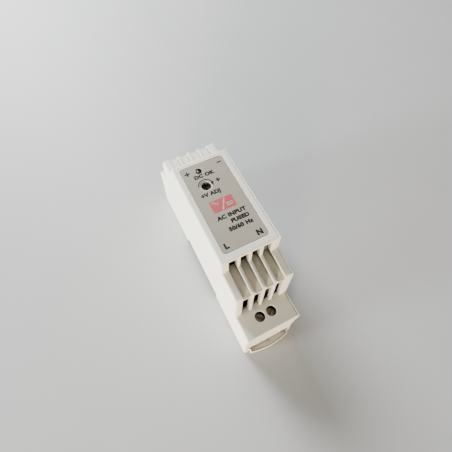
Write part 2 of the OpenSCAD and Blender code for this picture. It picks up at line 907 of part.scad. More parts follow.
module dc_ok_lamp() {
    color("green") {
        rod_z(lamp_x, lamp_y, lamp_low_z, lamp_low_z + lamp_flange_h, lamp_flange_r);
        rod_z(lamp_x, lamp_y, lamp_low_z, lamp_dome_z, lamp_r);
        translate([lamp_x, lamp_y, lamp_dome_z])
            sphere(r = lamp_r, $fn = round_n);
        for (p = lamp_pins) {
            rod_z(lamp_x, p[0], lamp_lead_z - lamp_lead_r, lamp_low_z + play, lamp_lead_r);
            rod_x(lead_end, lamp_x + lamp_lead_r, p, lamp_lead_r);
        }
    }
}

module input_fuse() {
    color("dimgray") {
        rod_x(stand, stand + fuse_h, fuse_at, fuse_r);
        leads(fuse_pins, stand + play);
    }
}

// A disc standing on edge over the board, on two leads
module disc(at, r, t, pins, side) {
    if (side)
        translate([stand + r + 1, at[0], at[1] - t / 2])
            cylinder(r = r, h = t, $fn = round_n);
    else
        rod_y(stand + r + 1, at[0] - t / 2, at[0] + t / 2, at[1], r);
    leads(pins, stand + r);
}

module inrush_thermistor() {
    color("black")
        disc(ntc_at, ntc_r, ntc_t, ntc_pins, true);
}

module surge_varistor() {
    color("steelblue")
        disc(varistor_at, varistor_r, varistor_t, varistor_pins, true);
}

module y_capacitor() {
    color("steelblue")
        disc(ycap_at, ycap_r, ycap_t, ycap_pins, false);
}

// A rectangular part on the board with its length along Y
module brick(at, l, w, h, pins) {
    span([stand, stand + h], [at[0] - l / 2, at[0] + l / 2], [at[1] - w / 2, at[1] + w / 2]);
    leads(pins, stand + play);
}

module x_capacitor() {
    color("gold")
        brick(xcap_at, xcap_l, xcap_w, xcap_h, xcap_pins);
}

// A package whose legs leave its sides and turn down into the board
module legged(at, l, w, h, pins) {
    mid = stand + h / 2;
    span([stand, stand + h], [at[0] - l / 2, at[0] + l / 2], [at[1] - w / 2, at[1] + w / 2]);
    for (p = pins) {
        span([mid - leg_t, mid + leg_t], [min(p[0] - lead_r, at[0]), max(p[0] + lead_r, at[0])],
            [p[1] - leg_w / 2, p[1] + leg_w / 2]);
        rod_x(lead_end, mid + leg_t, p, lead_r);
    }
}

module choke_core() {
    color("darkslategray")
        difference() {
            rod_x(stand + choke_wire_t + play, stand + choke_wire_t + play + choke_t, choke_at, choke_r);
            rod_x(stand, stand + 2 * choke_t, choke_at, choke_hole_r);
        }
}

module choke_winding(start, pins) {
    gap = play / 2;
    ring_w = choke_r - choke_hole_r;
    color("peru") {
        translate([stand + choke_wire_t + play + choke_t / 2, choke_at[0], choke_at[1]])
            rotate([0, 90, 0])
                rotate([0, 0, start])
                    rotate_extrude(angle = choke_arc, $fn = round_n)
                        translate([(choke_r + choke_hole_r) / 2, 0])
                            difference() {
                                square([ring_w + 2 * choke_wire_t, choke_t + 2 * choke_wire_t], center = true);
                                square([ring_w + 2 * gap, choke_t + 2 * gap], center = true);
                            }
        leads(pins, stand + choke_wire_t / 2);
    }
}

module choke_winding_a() {
    choke_winding(90 - choke_arc / 2, [choke_pins[2], choke_pins[3]]);
}

module choke_winding_b() {
    choke_winding(270 - choke_arc / 2, [choke_pins[0], choke_pins[1]]);
}

module bridge_rectifier() {
    color("black")
        legged(bridge_at, bridge_l, bridge_w, bridge_h, bridge_pins);
}

module controller_chip() {
    color("black")
        legged(ic_at, ic_l, ic_w, ic_h, ic_pins);
}

module optocoupler() {
    color("white")
        legged(opto_at, opto_l, opto_w, opto_h, opto_pins);
}

module bulk_capacitor() {
    x = stand + bulk_r + play;
    z0 = bulk_at[1] - bulk_len / 2;
    z1 = bulk_at[1] + bulk_len / 2;
    color("midnightblue") {
        difference() {
            union() {
                rod_z(x, bulk_at[0], z0, z0 + 2, bulk_r);
                rod_z(x, bulk_at[0], z0 + 2 - play, z0 + 3, bulk_r - bulk_band);
                rod_z(x, bulk_at[0], z0 + 3 - play, z1, bulk_r);
            }
            rod_z(x, bulk_at[0], z1 - bulk_band, z1 + over, bulk_vent_r);
        }
        for (p = bulk_pins) {
            rod_z(x, p[0], p[1] - lead_r, z0 + play, lead_r);
            rod_x(lead_end, x + lead_r, p, lead_r);
        }
    }
}

// A power package standing on the board, its flat back towards -Y
module power_package(at, w, t, pins) {
    span([stand + 1, stand + 1 + switch_h], [at[0] - t / 2, at[0] + t / 2],
        [at[1] - w / 2, at[1] + w / 2]);
    leads(pins, stand + 1 + play);
}

module heatsink(at, t) {
    y = at[0] - t / 2 - play;
    span([stand, stand + sink_h], [y - sink_t, y], [at[1] - sink_w / 2, at[1] + sink_w / 2]);
    span([stand + sink_h - sink_t, stand + sink_h], [y - sink_t, y + t],
        [at[1] - sink_w / 2, at[1] - sink_w / 2 + sink_t]);
}

module switch_transistor() {
    color("black")
        power_package(switch_at, switch_w, switch_t, switch_pins);
}

module switch_heatsink() {
    color("silver")
        heatsink(switch_at, switch_t);
}

module output_diode() {
    color("black")
        power_package(diode_at, diode_w, diode_t, diode_pins);
}

module diode_heatsink() {
    color("silver")
        heatsink(diode_at, diode_t);
}

module startup_resistor() {
    x = stand + resistor_r;
    color("tan") {
        rod_z(x, resistor_at[0], resistor_at[1] - resistor_len / 2, resistor_at[1] + resistor_len / 2,
            resistor_r);
        rod_z(x, resistor_at[0], resistor_pins[0][1] - lead_r, resistor_pins[1][1] + lead_r, lead_r);
        leads(resistor_pins, x + lead_r);
    }
}

module transformer_core() {
    color("dimgray")
        difference() {
            span([trafo_x - core_t / 2, trafo_x + core_t / 2],
                [trafo_at[0] - core_l / 2, trafo_at[0] + core_l / 2],
                [trafo_at[1] - core_w / 2, trafo_at[1] + core_w / 2]);
            for (s = [-1, 1]) {
                y = trafo_at[0] + s * (core_leg + core_window_l) / 2;
                span([trafo_x - core_t, trafo_x + core_t],
                    [y - core_window_l / 2, y + core_window_l / 2],
                    [trafo_at[1] - core_window_w / 2, trafo_at[1] + core_window_w / 2]);
            }
        }
}

module leg_hole(extra) {
    span([trafo_x - core_t / 2 - extra, trafo_x + core_t / 2 + extra],
        [trafo_at[0] - core_leg / 2 - extra, trafo_at[0] + core_leg / 2 + extra],
        [trafo_at[1] - core_w / 2, trafo_at[1] + core_w / 2]);
}

module transformer_bobbin() {
    inner = bobbin_gap + bobbin_wall;
    reach = core_window_w / 2 - bobbin_gap;
    color("black") {
        difference() {
            union() {
                for (z = trafo_rows)
                    span([trafo_x - bobbin_t / 2, trafo_x + bobbin_t / 2],
                        [trafo_at[0] - bobbin_l / 2, trafo_at[0] + bobbin_l / 2],
                        [trafo_at[1] + z - bobbin_flange_t / 2, trafo_at[1] + z + bobbin_flange_t / 2]);
                span([trafo_x - core_t / 2 - inner, trafo_x + core_t / 2 + inner],
                    [trafo_at[0] - core_leg / 2 - inner, trafo_at[0] + core_leg / 2 + inner],
                    [trafo_at[1] - reach, trafo_at[1] + reach]);
            }
            leg_hole(bobbin_gap);
        }
        for (z = trafo_rows)
            span([stand, trafo_x - bobbin_t / 2 + pin_rail],
                [trafo_at[0] - bobbin_l / 2, trafo_at[0] + bobbin_l / 2],
                [trafo_at[1] + z - bobbin_flange_t / 2, trafo_at[1] + z + bobbin_flange_t / 2]);
        leads(trafo_pin_list, stand + play);
    }
}

module transformer_winding() {
    hole = bobbin_gap + bobbin_wall + play;
    reach = core_window_w / 2 - bobbin_gap - bobbin_flange_t - play;
    color("gold")
        difference() {
            span([trafo_x - bobbin_t / 2 + coil_inset, trafo_x + bobbin_t / 2 - coil_inset],
                [trafo_at[0] - bobbin_l / 2 + coil_inset, trafo_at[0] + bobbin_l / 2 - coil_inset],
                [trafo_at[1] - reach, trafo_at[1] + reach]);
            leg_hole(hole);
        }
}

module can(at, pins) {
    color("midnightblue") {
        rod_x(stand, stand + 2, at, out_cap_r);
        rod_x(stand + 2 - play, stand + 3, at, out_cap_r - bulk_band);
        rod_x(stand + 3 - play, stand + out_cap_h, at, out_cap_r);
        leads(pins, stand + play);
    }
}

module output_capacitor_a() {
    can(out_caps[0], [out_cap_pins[0], out_cap_pins[1]]);
}

module output_capacitor_b() {
    can(out_caps[1], [out_cap_pins[2], out_cap_pins[3]]);
}

module inductor_core() {
    top = stand + inductor_h;
    color("dimgray") {
        rod_x(stand, stand + inductor_flange_t, inductor_at, inductor_r);
        rod_x(stand, top, inductor_at, inductor_core_r);
        rod_x(top - inductor_flange_t, top, inductor_at, inductor_r);
        leads(inductor_pins, stand + play);
    }
}

module inductor_winding() {
    color("peru")
        difference() {
            rod_x(stand + inductor_flange_t + play, stand + inductor_h - inductor_flange_t - play,
                inductor_at, inductor_wire_r);
            rod_x(stand, stand + inductor_h, inductor_at, inductor_core_r + play);
        }
}

module shunt_regulator() {
    x = stand + 2;
    color("black") {
        rod_x(x, x + regulator_h, regulator_at, regulator_r);
        leads(regulator_pins, x + play);
    }
}

main_shell();
side_cover();
front_label();
din_latch();
latch_spring();
main_board();
ac_terminal_block();
dc_terminal_block();
ac_contact_l();
ac_contact_n();
dc_contact_pos();
dc_contact_neg();
ac_screw_l();
ac_screw_n();
dc_screw_pos();
dc_screw_neg();
ac_cage_l();
ac_cage_n();
dc_cage_pos();
dc_cage_neg();
trimmer_body();
trimmer_rotor();
dc_ok_lamp();
input_fuse();
inrush_thermistor();
surge_varistor();
x_capacitor();
choke_core();
choke_winding_a();
choke_winding_b();
bridge_rectifier();
bulk_capacitor();
switch_transistor();
switch_heatsink();
controller_chip();
startup_resistor();
transformer_core();
transformer_bobbin();
transformer_winding();
output_diode();
diode_heatsink();
output_capacitor_a();
output_capacitor_b();
inductor_core();
inductor_winding();
optocoupler();
y_capacitor();
shunt_regulator();
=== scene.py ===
"""Looks of a narrow DIN rail power supply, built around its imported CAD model. Metres, in the CAD's frame."""

import json
import math

import bmesh
import bpy
from mathutils import Matrix, Vector


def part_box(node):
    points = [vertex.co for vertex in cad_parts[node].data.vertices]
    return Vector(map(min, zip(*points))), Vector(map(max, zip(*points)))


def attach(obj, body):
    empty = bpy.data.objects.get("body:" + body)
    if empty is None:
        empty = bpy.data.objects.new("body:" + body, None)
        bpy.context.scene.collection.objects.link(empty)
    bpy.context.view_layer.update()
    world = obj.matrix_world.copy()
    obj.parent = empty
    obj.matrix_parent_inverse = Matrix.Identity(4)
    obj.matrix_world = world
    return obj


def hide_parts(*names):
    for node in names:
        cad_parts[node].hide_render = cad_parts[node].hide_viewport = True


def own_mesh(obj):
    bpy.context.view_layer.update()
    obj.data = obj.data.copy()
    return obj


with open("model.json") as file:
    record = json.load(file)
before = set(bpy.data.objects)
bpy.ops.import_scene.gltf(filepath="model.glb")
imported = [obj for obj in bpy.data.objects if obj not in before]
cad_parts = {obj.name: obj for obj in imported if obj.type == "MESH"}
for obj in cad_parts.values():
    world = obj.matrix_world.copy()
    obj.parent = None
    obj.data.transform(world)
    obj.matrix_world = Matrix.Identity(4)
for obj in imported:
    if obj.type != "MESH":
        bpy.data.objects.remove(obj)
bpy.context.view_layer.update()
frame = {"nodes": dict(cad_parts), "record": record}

MM = 0.001
HOUSING = "housing"
# Two places closer than SAME_PLACE are one, and corners closer than WELD_REACH are welded.
SAME_PLACE = 0.01 * MM
WELD_REACH = 0.002 * MM


# ---------------------------------------------------------------- materials

NOISE_ROUGHNESS = 0.55
OPENNESS_SAMPLES = 6
# The grain darkens a finish by FLECK_SHARE of the way to FLECK_TINT times its colour.
FLECK_SHARE = 0.12
FLECK_TINT = 0.6
# How far a finish's roughness strays to either side.
GLOSS_SPREAD = 0.06
COAT_ROUGHNESS = 0.12

# The colour sockets of a Mix node, which share their names with its other kinds of socket.
MIX_FIRST = 6
MIX_SECOND = 7
MIX_RESULT = 2

# Effects that follow how closed in a point is: how far they reach, whether into the solid, the openness at
# which they are full and gone, and the colour that they end in as a share of the finish's own.
# Painted shade in corners and creases, which stands for dirt there too.
SHADE_AND_DIRT = {"reach": 1.2 * MM, "inward": False, "full": 0.2, "gone": 0.9, "tint": 0.35}
RUB = {"reach": 0.5 * MM, "inward": True, "full": 0.35, "gone": 0.8, "tint": 1.25}
# Painted shade: surfaces deep inside hollows and slots are darkened almost to black.
DEEP_SHADE = {"reach": 24 * MM, "inward": False, "full": 0.15, "gone": 0.36, "tint": 0.05}


def node_tree(name):
    """A new material, its nodes, its links and its principled shader."""
    mat = bpy.data.materials.new(name)
    mat.use_nodes = True
    nodes = mat.node_tree.nodes
    return mat, nodes, mat.node_tree.links, nodes["Principled BSDF"]


def noise(nodes, links, coordinates, size, detail=3.0):
    """A noise pattern whose features are about size metres across."""
    tex = nodes.new("ShaderNodeTexNoise")
    tex.inputs["Scale"].default_value = 1.0 / size
    tex.inputs["Detail"].default_value = detail
    tex.inputs["Roughness"].default_value = NOISE_ROUGHNESS
    links.new(coordinates, tex.inputs["Vector"])
    return tex.outputs["Fac"]


def mapped(nodes, links, value, low, high, from_low=0.3, from_high=0.7):
    """value stretched from its usual range to low..high."""
    node = nodes.new("ShaderNodeMapRange")
    node.inputs["From Min"].default_value = from_low
    node.inputs["From Max"].default_value = from_high
    node.inputs["To Min"].default_value = low
    node.inputs["To Max"].default_value = high
    links.new(value, node.inputs["Value"])
    return node.outputs["Result"]


def mixed(nodes, links, factor, first, second):
    """A colour between two others; each is a socket or a colour."""
    node = nodes.new("ShaderNodeMix")
    node.data_type = "RGBA"
    links.new(factor, node.inputs["Factor"])
    for socket, colour in ((node.inputs[MIX_FIRST], first), (node.inputs[MIX_SECOND], second)):
        if isinstance(colour, bpy.types.NodeSocket):
            links.new(colour, socket)
        else:
            socket.default_value = (*colour, 1)
    return node.outputs[MIX_RESULT]


def bumped(nodes, links, height, distance, under=None):
    """A normal that follows height, distance metres high, over another normal if there is one."""
    node = nodes.new("ShaderNodeBump")
    node.inputs["Distance"].default_value = distance
    links.new(height, node.inputs["Height"])
    if under is not None:
        links.new(under, node.inputs["Normal"])
    return node.outputs["Normal"]


def stretched(nodes, links, coordinates, scale):
    """Coordinates whose patterns are drawn out along each axis where scale is below 1."""
    node = nodes.new("ShaderNodeMapping")
    node.inputs["Scale"].default_value = scale
    links.new(coordinates, node.inputs["Vector"])
    return node.outputs["Vector"]


def scaled(colour, by):
    """A colour made lighter or darker, no lighter than white."""
    return tuple(min(1.0, c * by) for c in colour)


def shaded(nodes, links, base, colour, amount, effect):
    """base with an effect laid over it, such as painted shade in corners, by at most amount."""
    openness = nodes.new("ShaderNodeAmbientOcclusion")
    openness.inputs["Distance"].default_value = effect["reach"]
    openness.inside = effect["inward"]
    openness.samples = OPENNESS_SAMPLES
    share = mapped(nodes, links, openness.outputs["AO"], amount, 0, effect["full"], effect["gone"])
    return mixed(nodes, links, share, base, scaled(colour, effect["tint"]))


def finish_of(
    name,
    colour,
    rough,
    metal=0.0,
    blotch=0.05,
    blotch_size=12 * MM,
    grain=0.0,
    grain_size=0.25 * MM,
    wave=0.0,
    shade_and_dirt=0.0,
    worn=0.0,
    # depth is the share of painted shade deep inside hollows.
    depth=0.0,
    coat=0.0,
    streak=None,
    gloss=0.5,
):
    """The general finish: mottled colour, uneven gloss, moulded grain, rubbed edges, painted shade with some
    dirt in corners and creases, and painted shade deep in hollows.

    blotch is how far the colour strays over blotch_size. wave and grain are the heights of the broad and the
    fine unevenness, and streak draws the grain out. The corner shade, the wear and the depth arguments are
    shares
    of three effects: painted shade, with dirt, in corners and creases; lighter wear on outer edges; and
    painted shade, near black, deep inside hollows.
    """
    mat, nodes, links, shader = node_tree(name)
    where = nodes.new("ShaderNodeTexCoord").outputs["Object"]
    grain_where = stretched(nodes, links, where, streak) if streak else where
    broad = noise(nodes, links, where, blotch_size, detail=4)
    fine = noise(nodes, links, grain_where, grain_size, detail=2)
    mottle = mapped(nodes, links, broad, 0, 1)
    base = mixed(nodes, links, mottle, scaled(colour, 1 - blotch), scaled(colour, 1 + blotch))
    flecks = mapped(nodes, links, fine, 0, FLECK_SHARE)
    base = mixed(nodes, links, flecks, base, scaled(colour, FLECK_TINT))
    # Painted shade in corners and deep in hollows, and lighter wear on edges, laid over the colour.
    for amount, effect in ((shade_and_dirt, SHADE_AND_DIRT), (worn, RUB), (depth, DEEP_SHADE)):
        if amount:
            base = shaded(nodes, links, base, colour, amount, effect)
    links.new(base, shader.inputs["Base Color"])
    uneven = noise(nodes, links, where, blotch_size / 3)
    roughness = mapped(nodes, links, uneven, rough - GLOSS_SPREAD, rough + GLOSS_SPREAD)
    links.new(roughness, shader.inputs["Roughness"])
    normal = None
    if wave:
        normal = bumped(nodes, links, broad, wave)
    if grain:
        normal = bumped(nodes, links, fine, grain, under=normal)
    if normal is not None:
        links.new(normal, shader.inputs["Normal"])
    shader.inputs["Metallic"].default_value = metal
    shader.inputs["Specular IOR Level"].default_value = gloss
    shader.inputs["Coat Weight"].default_value = coat
    shader.inputs["Coat Roughness"].default_value = COAT_ROUGHNESS
    return mat


def board_finish():
    """Green solder mask over areas of copper, which show lighter and raised, with thin gaps between them."""
    cell_size = 4.5 * MM
    gap_edge = (0.05, 0.09)
    mask_dark = (0.006, 0.07, 0.02)
    mask_light = (0.012, 0.11, 0.035)
    over_copper = (0.03, 0.17, 0.05)
    mat, nodes, links, shader = node_tree("board_green")
    where = nodes.new("ShaderNodeTexCoord").outputs["Object"]
    cells = nodes.new("ShaderNodeTexVoronoi")
    cells.feature = "DISTANCE_TO_EDGE"
    cells.distance = "MANHATTAN"
    cells.inputs["Scale"].default_value = 1 / cell_size
    cells.inputs["Randomness"].default_value = 0.6
    links.new(where, cells.inputs["Vector"])
    copper = mapped(nodes, links, cells.outputs["Distance"], 0, 1, *gap_edge)
    mottle = noise(nodes, links, where, 6 * MM)
    mask = mixed(nodes, links, mottle, mask_dark, mask_light)
    links.new(mixed(nodes, links, copper, mask, over_copper), shader.inputs["Base Color"])
    links.new(bumped(nodes, links, copper, 0.05 * MM), shader.inputs["Normal"])
    links.new(mapped(nodes, links, mottle, 0.25, 0.4), shader.inputs["Roughness"])
    return mat


def lens_finish():
    """Tinted epoxy of the lamp, unlit."""
    deep = (0.006, 0.035, 0.012)
    pale = (0.012, 0.06, 0.02)
    mat, nodes, links, shader = node_tree("lens_green")
    where = nodes.new("ShaderNodeTexCoord").outputs["Object"]
    haze = noise(nodes, links, where, 0.8 * MM)
    links.new(mixed(nodes, links, haze, deep, pale), shader.inputs["Base Color"])
    links.new(mapped(nodes, links, haze, 0.2, 0.34), shader.inputs["Roughness"])
    shader.inputs["IOR"].default_value = 1.5
    return mat


CREAM = (0.80, 0.765, 0.665)
SILVER_FILM = (0.325, 0.295, 0.24)
FINISH = {
    # The housing, the label and its print.
    # The housing carries painted shade in its corners and, almost black, deep inside its slots.
    "housing": finish_of("housing_plastic", CREAM, 0.5, blotch=0.02, grain=0.012 * MM, wave=0.05 * MM,
                         shade_and_dirt=0.3, worn=0.25, depth=0.97),
    "label": finish_of("label_film", SILVER_FILM, 0.42, blotch=0.02, grain=0.004 * MM,
                       grain_size=0.12 * MM, wave=0.03 * MM),
    "ink": finish_of("ink_black", (0.010, 0.010, 0.010), 0.6, blotch=0.2, blotch_size=1 * MM, gloss=0.15),
    "badge": finish_of("ink_red", (0.42, 0.07, 0.08), 0.48, blotch=0.08, blotch_size=2 * MM),
    "badge_light": finish_of("ink_pale", (0.55, 0.34, 0.33), 0.48, blotch=0.05, blotch_size=2 * MM),
    # What the terminals, the latch and the trimmer are made of.
    # The steel's slot and corners carry strong painted shade.
    "steel": finish_of("plated_steel", (0.36, 0.30, 0.24), 0.33, metal=1, blotch=0.45, blotch_size=0.7 * MM,
                       grain=0.006 * MM, grain_size=0.12 * MM, shade_and_dirt=0.95, worn=0.4),
    "spring": finish_of("spring_steel", (0.55, 0.55, 0.56), 0.25, metal=1, blotch=0.1, blotch_size=1 * MM),
    "brass": finish_of("contact_metal", (0.62, 0.55, 0.38), 0.3, metal=1, blotch=0.12, blotch_size=2 * MM,
                       grain=0.004 * MM, streak=(1, 0.1, 1)),
    "terminal": finish_of("terminal_black", (0.016, 0.017, 0.018), 0.55, blotch=0.1, grain=0.01 * MM,
                          shade_and_dirt=0.3),
    "trimmer": finish_of("trimmer_blue", (0.012, 0.06, 0.27), 0.4, blotch=0.08, grain=0.006 * MM),
    "rotor": finish_of("rotor_brown", (0.045, 0.032, 0.024), 0.38, blotch=0.2, blotch_size=1 * MM,
                       grain=0.01 * MM, worn=0.4),
    # The board, its parts and their leads.
    "board": board_finish(),
    "lens": lens_finish(),
    "black": finish_of("moulded_black", (0.014, 0.014, 0.015), 0.5, blotch=0.15, grain=0.012 * MM, worn=0.4),
    "white": finish_of("moulded_white", (0.66, 0.66, 0.64), 0.5, blotch=0.04, grain=0.01 * MM, shade_and_dirt=0.3),
    "yellow": finish_of("moulded_yellow", (0.72, 0.46, 0.03), 0.45, blotch=0.05, grain=0.01 * MM, shade_and_dirt=0.3),
    "blue_dip": finish_of("dipped_blue", (0.02, 0.10, 0.36), 0.22, blotch=0.1, wave=0.1 * MM,
                          blotch_size=2 * MM, coat=0.5),
    "black_dip": finish_of("dipped_black", (0.02, 0.02, 0.02), 0.35, blotch=0.2, wave=0.1 * MM,
                           blotch_size=2 * MM),
    "ferrite": finish_of("ferrite_grey", (0.045, 0.045, 0.05), 0.6, blotch=0.15, blotch_size=3 * MM,
                         grain=0.03 * MM, worn=0.4),
    "copper": finish_of("enamel_copper", (0.55, 0.17, 0.05), 0.22, metal=1, blotch=0.1, blotch_size=2 * MM,
                        coat=0.6),
    "sleeve": finish_of("sleeve_black", (0.012, 0.016, 0.03), 0.28, blotch=0.15, wave=0.04 * MM, coat=0.3),
    "stripe": finish_of("sleeve_stripe", (0.55, 0.56, 0.55), 0.35, blotch=0.05),
    "can_top": finish_of("can_top", (0.6, 0.6, 0.61), 0.28, metal=1, blotch=0.06, grain=0.004 * MM),
    "aluminium": finish_of("rolled_aluminium", (0.68, 0.68, 0.69), 0.35, metal=1, blotch=0.06,
                           grain=0.008 * MM, streak=(0.08, 1, 1), worn=0.2),
    "tan": finish_of("lacquer_tan", (0.50, 0.33, 0.16), 0.35, blotch=0.06, coat=0.3),
    "tape": finish_of("winding_tape", (0.75, 0.50, 0.05), 0.25, blotch=0.05, wave=0.06 * MM, coat=0.4),
    "tin": finish_of("tinned_lead", (0.62, 0.61, 0.58), 0.3, metal=1, blotch=0.1, blotch_size=0.6 * MM),
}


# ------------------------------------------------------------ mesh helpers

# The largest radius that an edge is given, and the most room that is looked for beside it.
LARGEST_ROUND = 1 * MM
WIDEST_ROOM = 10 * MM
# Turns in degrees: faces within FLAT_TURN are one face, and edges over SHARP_TURN are rounded. CURVE_TURN is
# above the turn between the facets of a round CAD face.
FLAT_TURN = 1
SHARP_TURN = 28
CURVE_TURN = 40


def new_piece(name, mesh, finish, body=HOUSING):
    """A mesh as a piece of the object, with its finish, riding on a body."""
    obj = bpy.data.objects.new(name, mesh)
    bpy.context.scene.collection.objects.link(obj)
    mesh.materials.clear()
    mesh.materials.append(FINISH[finish])
    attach(obj, body)
    return obj


def mesh_from(bm, name):
    """A mesh from a bmesh, which is used up."""
    mesh = bpy.data.meshes.new(name)
    bm.normal_update()
    bm.to_mesh(mesh)
    bm.free()
    return mesh


def mesh_of_curve(curve):
    """A curve's or a text's surface as a mesh; the curve is used up."""
    holder = bpy.data.objects.new("holder", curve)
    bpy.context.scene.collection.objects.link(holder)
    bpy.context.view_layer.update()
    mesh = bpy.data.meshes.new_from_object(holder.evaluated_get(bpy.context.evaluated_depsgraph_get()))
    bpy.data.objects.remove(holder)
    bpy.data.curves.remove(curve)
    return mesh


def smoothed(mesh, sharp_over=35):
    """Smooth shading that keeps edges over that many degrees sharp."""
    mesh.polygons.foreach_set("use_smooth", [True] * len(mesh.polygons))
    mesh.set_sharp_from_angle(angle=math.radians(sharp_over))
    mesh.update()
    return mesh


def welded(node):
    """A CAD node's mesh with its seams closed and its flat faces merged, ready for rounding."""
    bm = bmesh.new()
    bm.from_mesh(frame["nodes"][node].data)
    bmesh.ops.remove_doubles(bm, verts=bm.verts, dist=WELD_REACH)
    bmesh.ops.dissolve_limit(
        bm, angle_limit=math.radians(FLAT_TURN), verts=bm.verts[:], edges=bm.edges[:], delimit=set()
    )
    bm.normal_update()
    return bm


def even_shading(obj):
    """Lets the large flat faces set the shading, so that only the roundings turn it."""
    weighted = obj.modifiers.new("even", "WEIGHTED_NORMAL")
    weighted.mode = "FACE_AREA"
    weighted.weight = 100
    weighted.keep_sharp = True


def room_beside(edge):
    """How wide an edge's rounding can be before it meets the one at the next corner."""
    least_slope = 0.35
    usable_share = 0.42
    along = (edge.verts[1].co - edge.verts[0].co).normalized()
    room = WIDEST_ROOM
    for v in edge.verts:
        for other in v.link_edges:
            if other is edge:
                continue
            way = other.verts[1].co - other.verts[0].co
            across = way.cross(along).length
            if across > least_slope * way.length:
                room = min(room, usable_share * across)
    return room


def rounded_copy(node, name, radius_of, finish, body, segments=3):
    """The CAD node's shape with its edges rounded, standing for it.

    radius_of(edge, turn) gives each edge's radius in metres; turn is positive on outer edges.
    """
    bm = welded(node)
    weight = bm.edges.layers.float.new("bevel_weight_edge")
    for e in bm.edges:
        if len(e.link_faces) != 2:
            continue
        turn = e.calc_face_angle_signed(0)
        if abs(turn) < math.radians(SHARP_TURN):
            continue
        e.smooth = False
        radius = min(radius_of(e, turn), room_beside(e), LARGEST_ROUND)
        e[weight] = max(0.0, radius / LARGEST_ROUND)
    for f in bm.faces:
        f.smooth = True
    obj = new_piece(name, mesh_from(bm, name), finish, body)
    bevel = obj.modifiers.new("round", "BEVEL")
    bevel.width = LARGEST_ROUND
    bevel.limit_method = "WEIGHT"
    bevel.segments = segments
    bevel.use_clamp_overlap = False
    even_shading(obj)
    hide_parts(node)
    return obj


def softened(node, finish, width=0.15 * MM):
    """A CAD node shown as it is, with its sharp edges rounded."""
    obj = frame["nodes"][node]
    weld = obj.modifiers.new("weld", "WELD")
    weld.merge_threshold = WELD_REACH
    flat = obj.modifiers.new("flat", "DECIMATE")
    flat.decimate_type = "DISSOLVE"
    flat.angle_limit = math.radians(FLAT_TURN)
    bevel = obj.modifiers.new("round", "BEVEL")
    bevel.width = width
    bevel.segments = 2
    bevel.limit_method = "ANGLE"
    bevel.angle_limit = math.radians(CURVE_TURN)
    bevel.use_clamp_overlap = True
    even_shading(obj)
    obj.data.materials.clear()
    obj.data.materials.append(FINISH[finish])
    return obj


def line_distance(p, a, b):
    """Distance from point p to the stretch a-b, in a plane."""
    along = b - a
    if along.length_squared == 0:
        return (p - a).length
    t = max(0.0, min(1.0, (p - a).dot(along) / along.length_squared))
    return (p - a - along * t).length


def outline_of(bm, x):
    """The side outline of an extruded mesh: the corners of its largest face at that x."""
    faces = [f for f in bm.faces if all(abs(v.co.x - x) < SAME_PLACE for v in f.verts)]
    widest = max(faces, key=lambda f: f.calc_area())
    return [Vector((v.co.y, v.co.z)) for v in widest.verts]


def tube(points, radius, sides=12):
    """A round wire along points, as a mesh."""
    curve = bpy.data.curves.new("wire", "CURVE")
    curve.dimensions = "3D"
    curve.bevel_depth = radius
    curve.bevel_resolution = sides // 4 - 1
    curve.use_fill_caps = True
    line = curve.splines.new("POLY")
    line.points.add(len(points) - 1)
    for p, co in zip(line.points, points):
        p.co = (*co, 1)
    return mesh_of_curve(curve)


def coil_points(turns, steps, place):
    """Points along a coil; place(t) gives the point that is t turns along it."""
    return [place(i / steps) for i in range(turns * steps + 1)]


def joined(meshes, name):
    """Several meshes as one."""
    bm = bmesh.new()
    for mesh in meshes:
        bm.from_mesh(mesh)
    return mesh_from(bm, name)


def lathe(profile, steps):
    """A closed mesh turned about Z from (radius, height) points; a radius of 0 closes it on the axis."""
    bm = bmesh.new()
    turns = [2 * math.pi * i / steps for i in range(steps)]
    rings = []
    for r, z in profile:
        if r == 0:
            rings.append([bm.verts.new((0, 0, z))])
        else:
            rings.append([bm.verts.new((r * math.cos(a), r * math.sin(a), z)) for a in turns])
    for low, high in zip(rings, rings[1:]):
        for i in range(steps):
            j = (i + 1) % steps
            if len(low) == 1:
                bm.faces.new((high[j], high[i], low[0]))
            elif len(high) == 1:
                bm.faces.new((low[i], low[j], high[0]))
            else:
                bm.faces.new((low[i], low[j], high[j], high[i]))
    bmesh.ops.recalc_face_normals(bm, faces=bm.faces)
    return bm


def slab(outline, low, high):
    """A closed flat shape from an outline in mm, between two heights along Z."""
    bm = bmesh.new()
    face = bm.faces.new([bm.verts.new((x * MM, y * MM, low)) for x, y in outline])
    made = bmesh.ops.extrude_face_region(bm, geom=[face])["geom"]
    for v in made:
        if isinstance(v, bmesh.types.BMVert):
            v.co.z = high
    bmesh.ops.recalc_face_normals(bm, faces=bm.faces)
    return mesh_from(bm, "slab")


def at_angle(centre, radius, degrees):
    """The point of a circle at that angle."""
    turn = math.radians(degrees)
    return (centre[0] + radius * math.cos(turn), centre[1] + radius * math.sin(turn))


def arc(centre, radius, start, end, steps):
    """Points along an arc, its angles in degrees."""
    return [at_angle(centre, radius, start + (end - start) * i / steps) for i in range(steps + 1)]


def arc_band(centre, radius, width, start, end, steps=40):
    """The outline of a band along an arc, in mm, angles in degrees."""
    outer = arc(centre, radius + width / 2, start, end, steps)
    inner = arc(centre, radius - width / 2, start, end, steps)
    return outer + inner[::-1]


def box_outline(x0, y0, x1, y1):
    """The four corners of a rectangle."""
    return [(x0, y0), (x1, y0), (x1, y1), (x0, y1)]


def rounded_box(x0, y0, x1, y1, r, steps=6):
    """The outline of a rectangle with round corners."""
    corners = ((x1 - r, y1 - r), (x0 + r, y1 - r), (x0 + r, y0 + r), (x1 - r, y0 + r))
    outline = []
    for quarter, centre in enumerate(corners):
        outline += arc(centre, r, 90 * quarter, 90 * quarter + 90, steps)
    return outline


# ------------------------------------------------------------- the housing

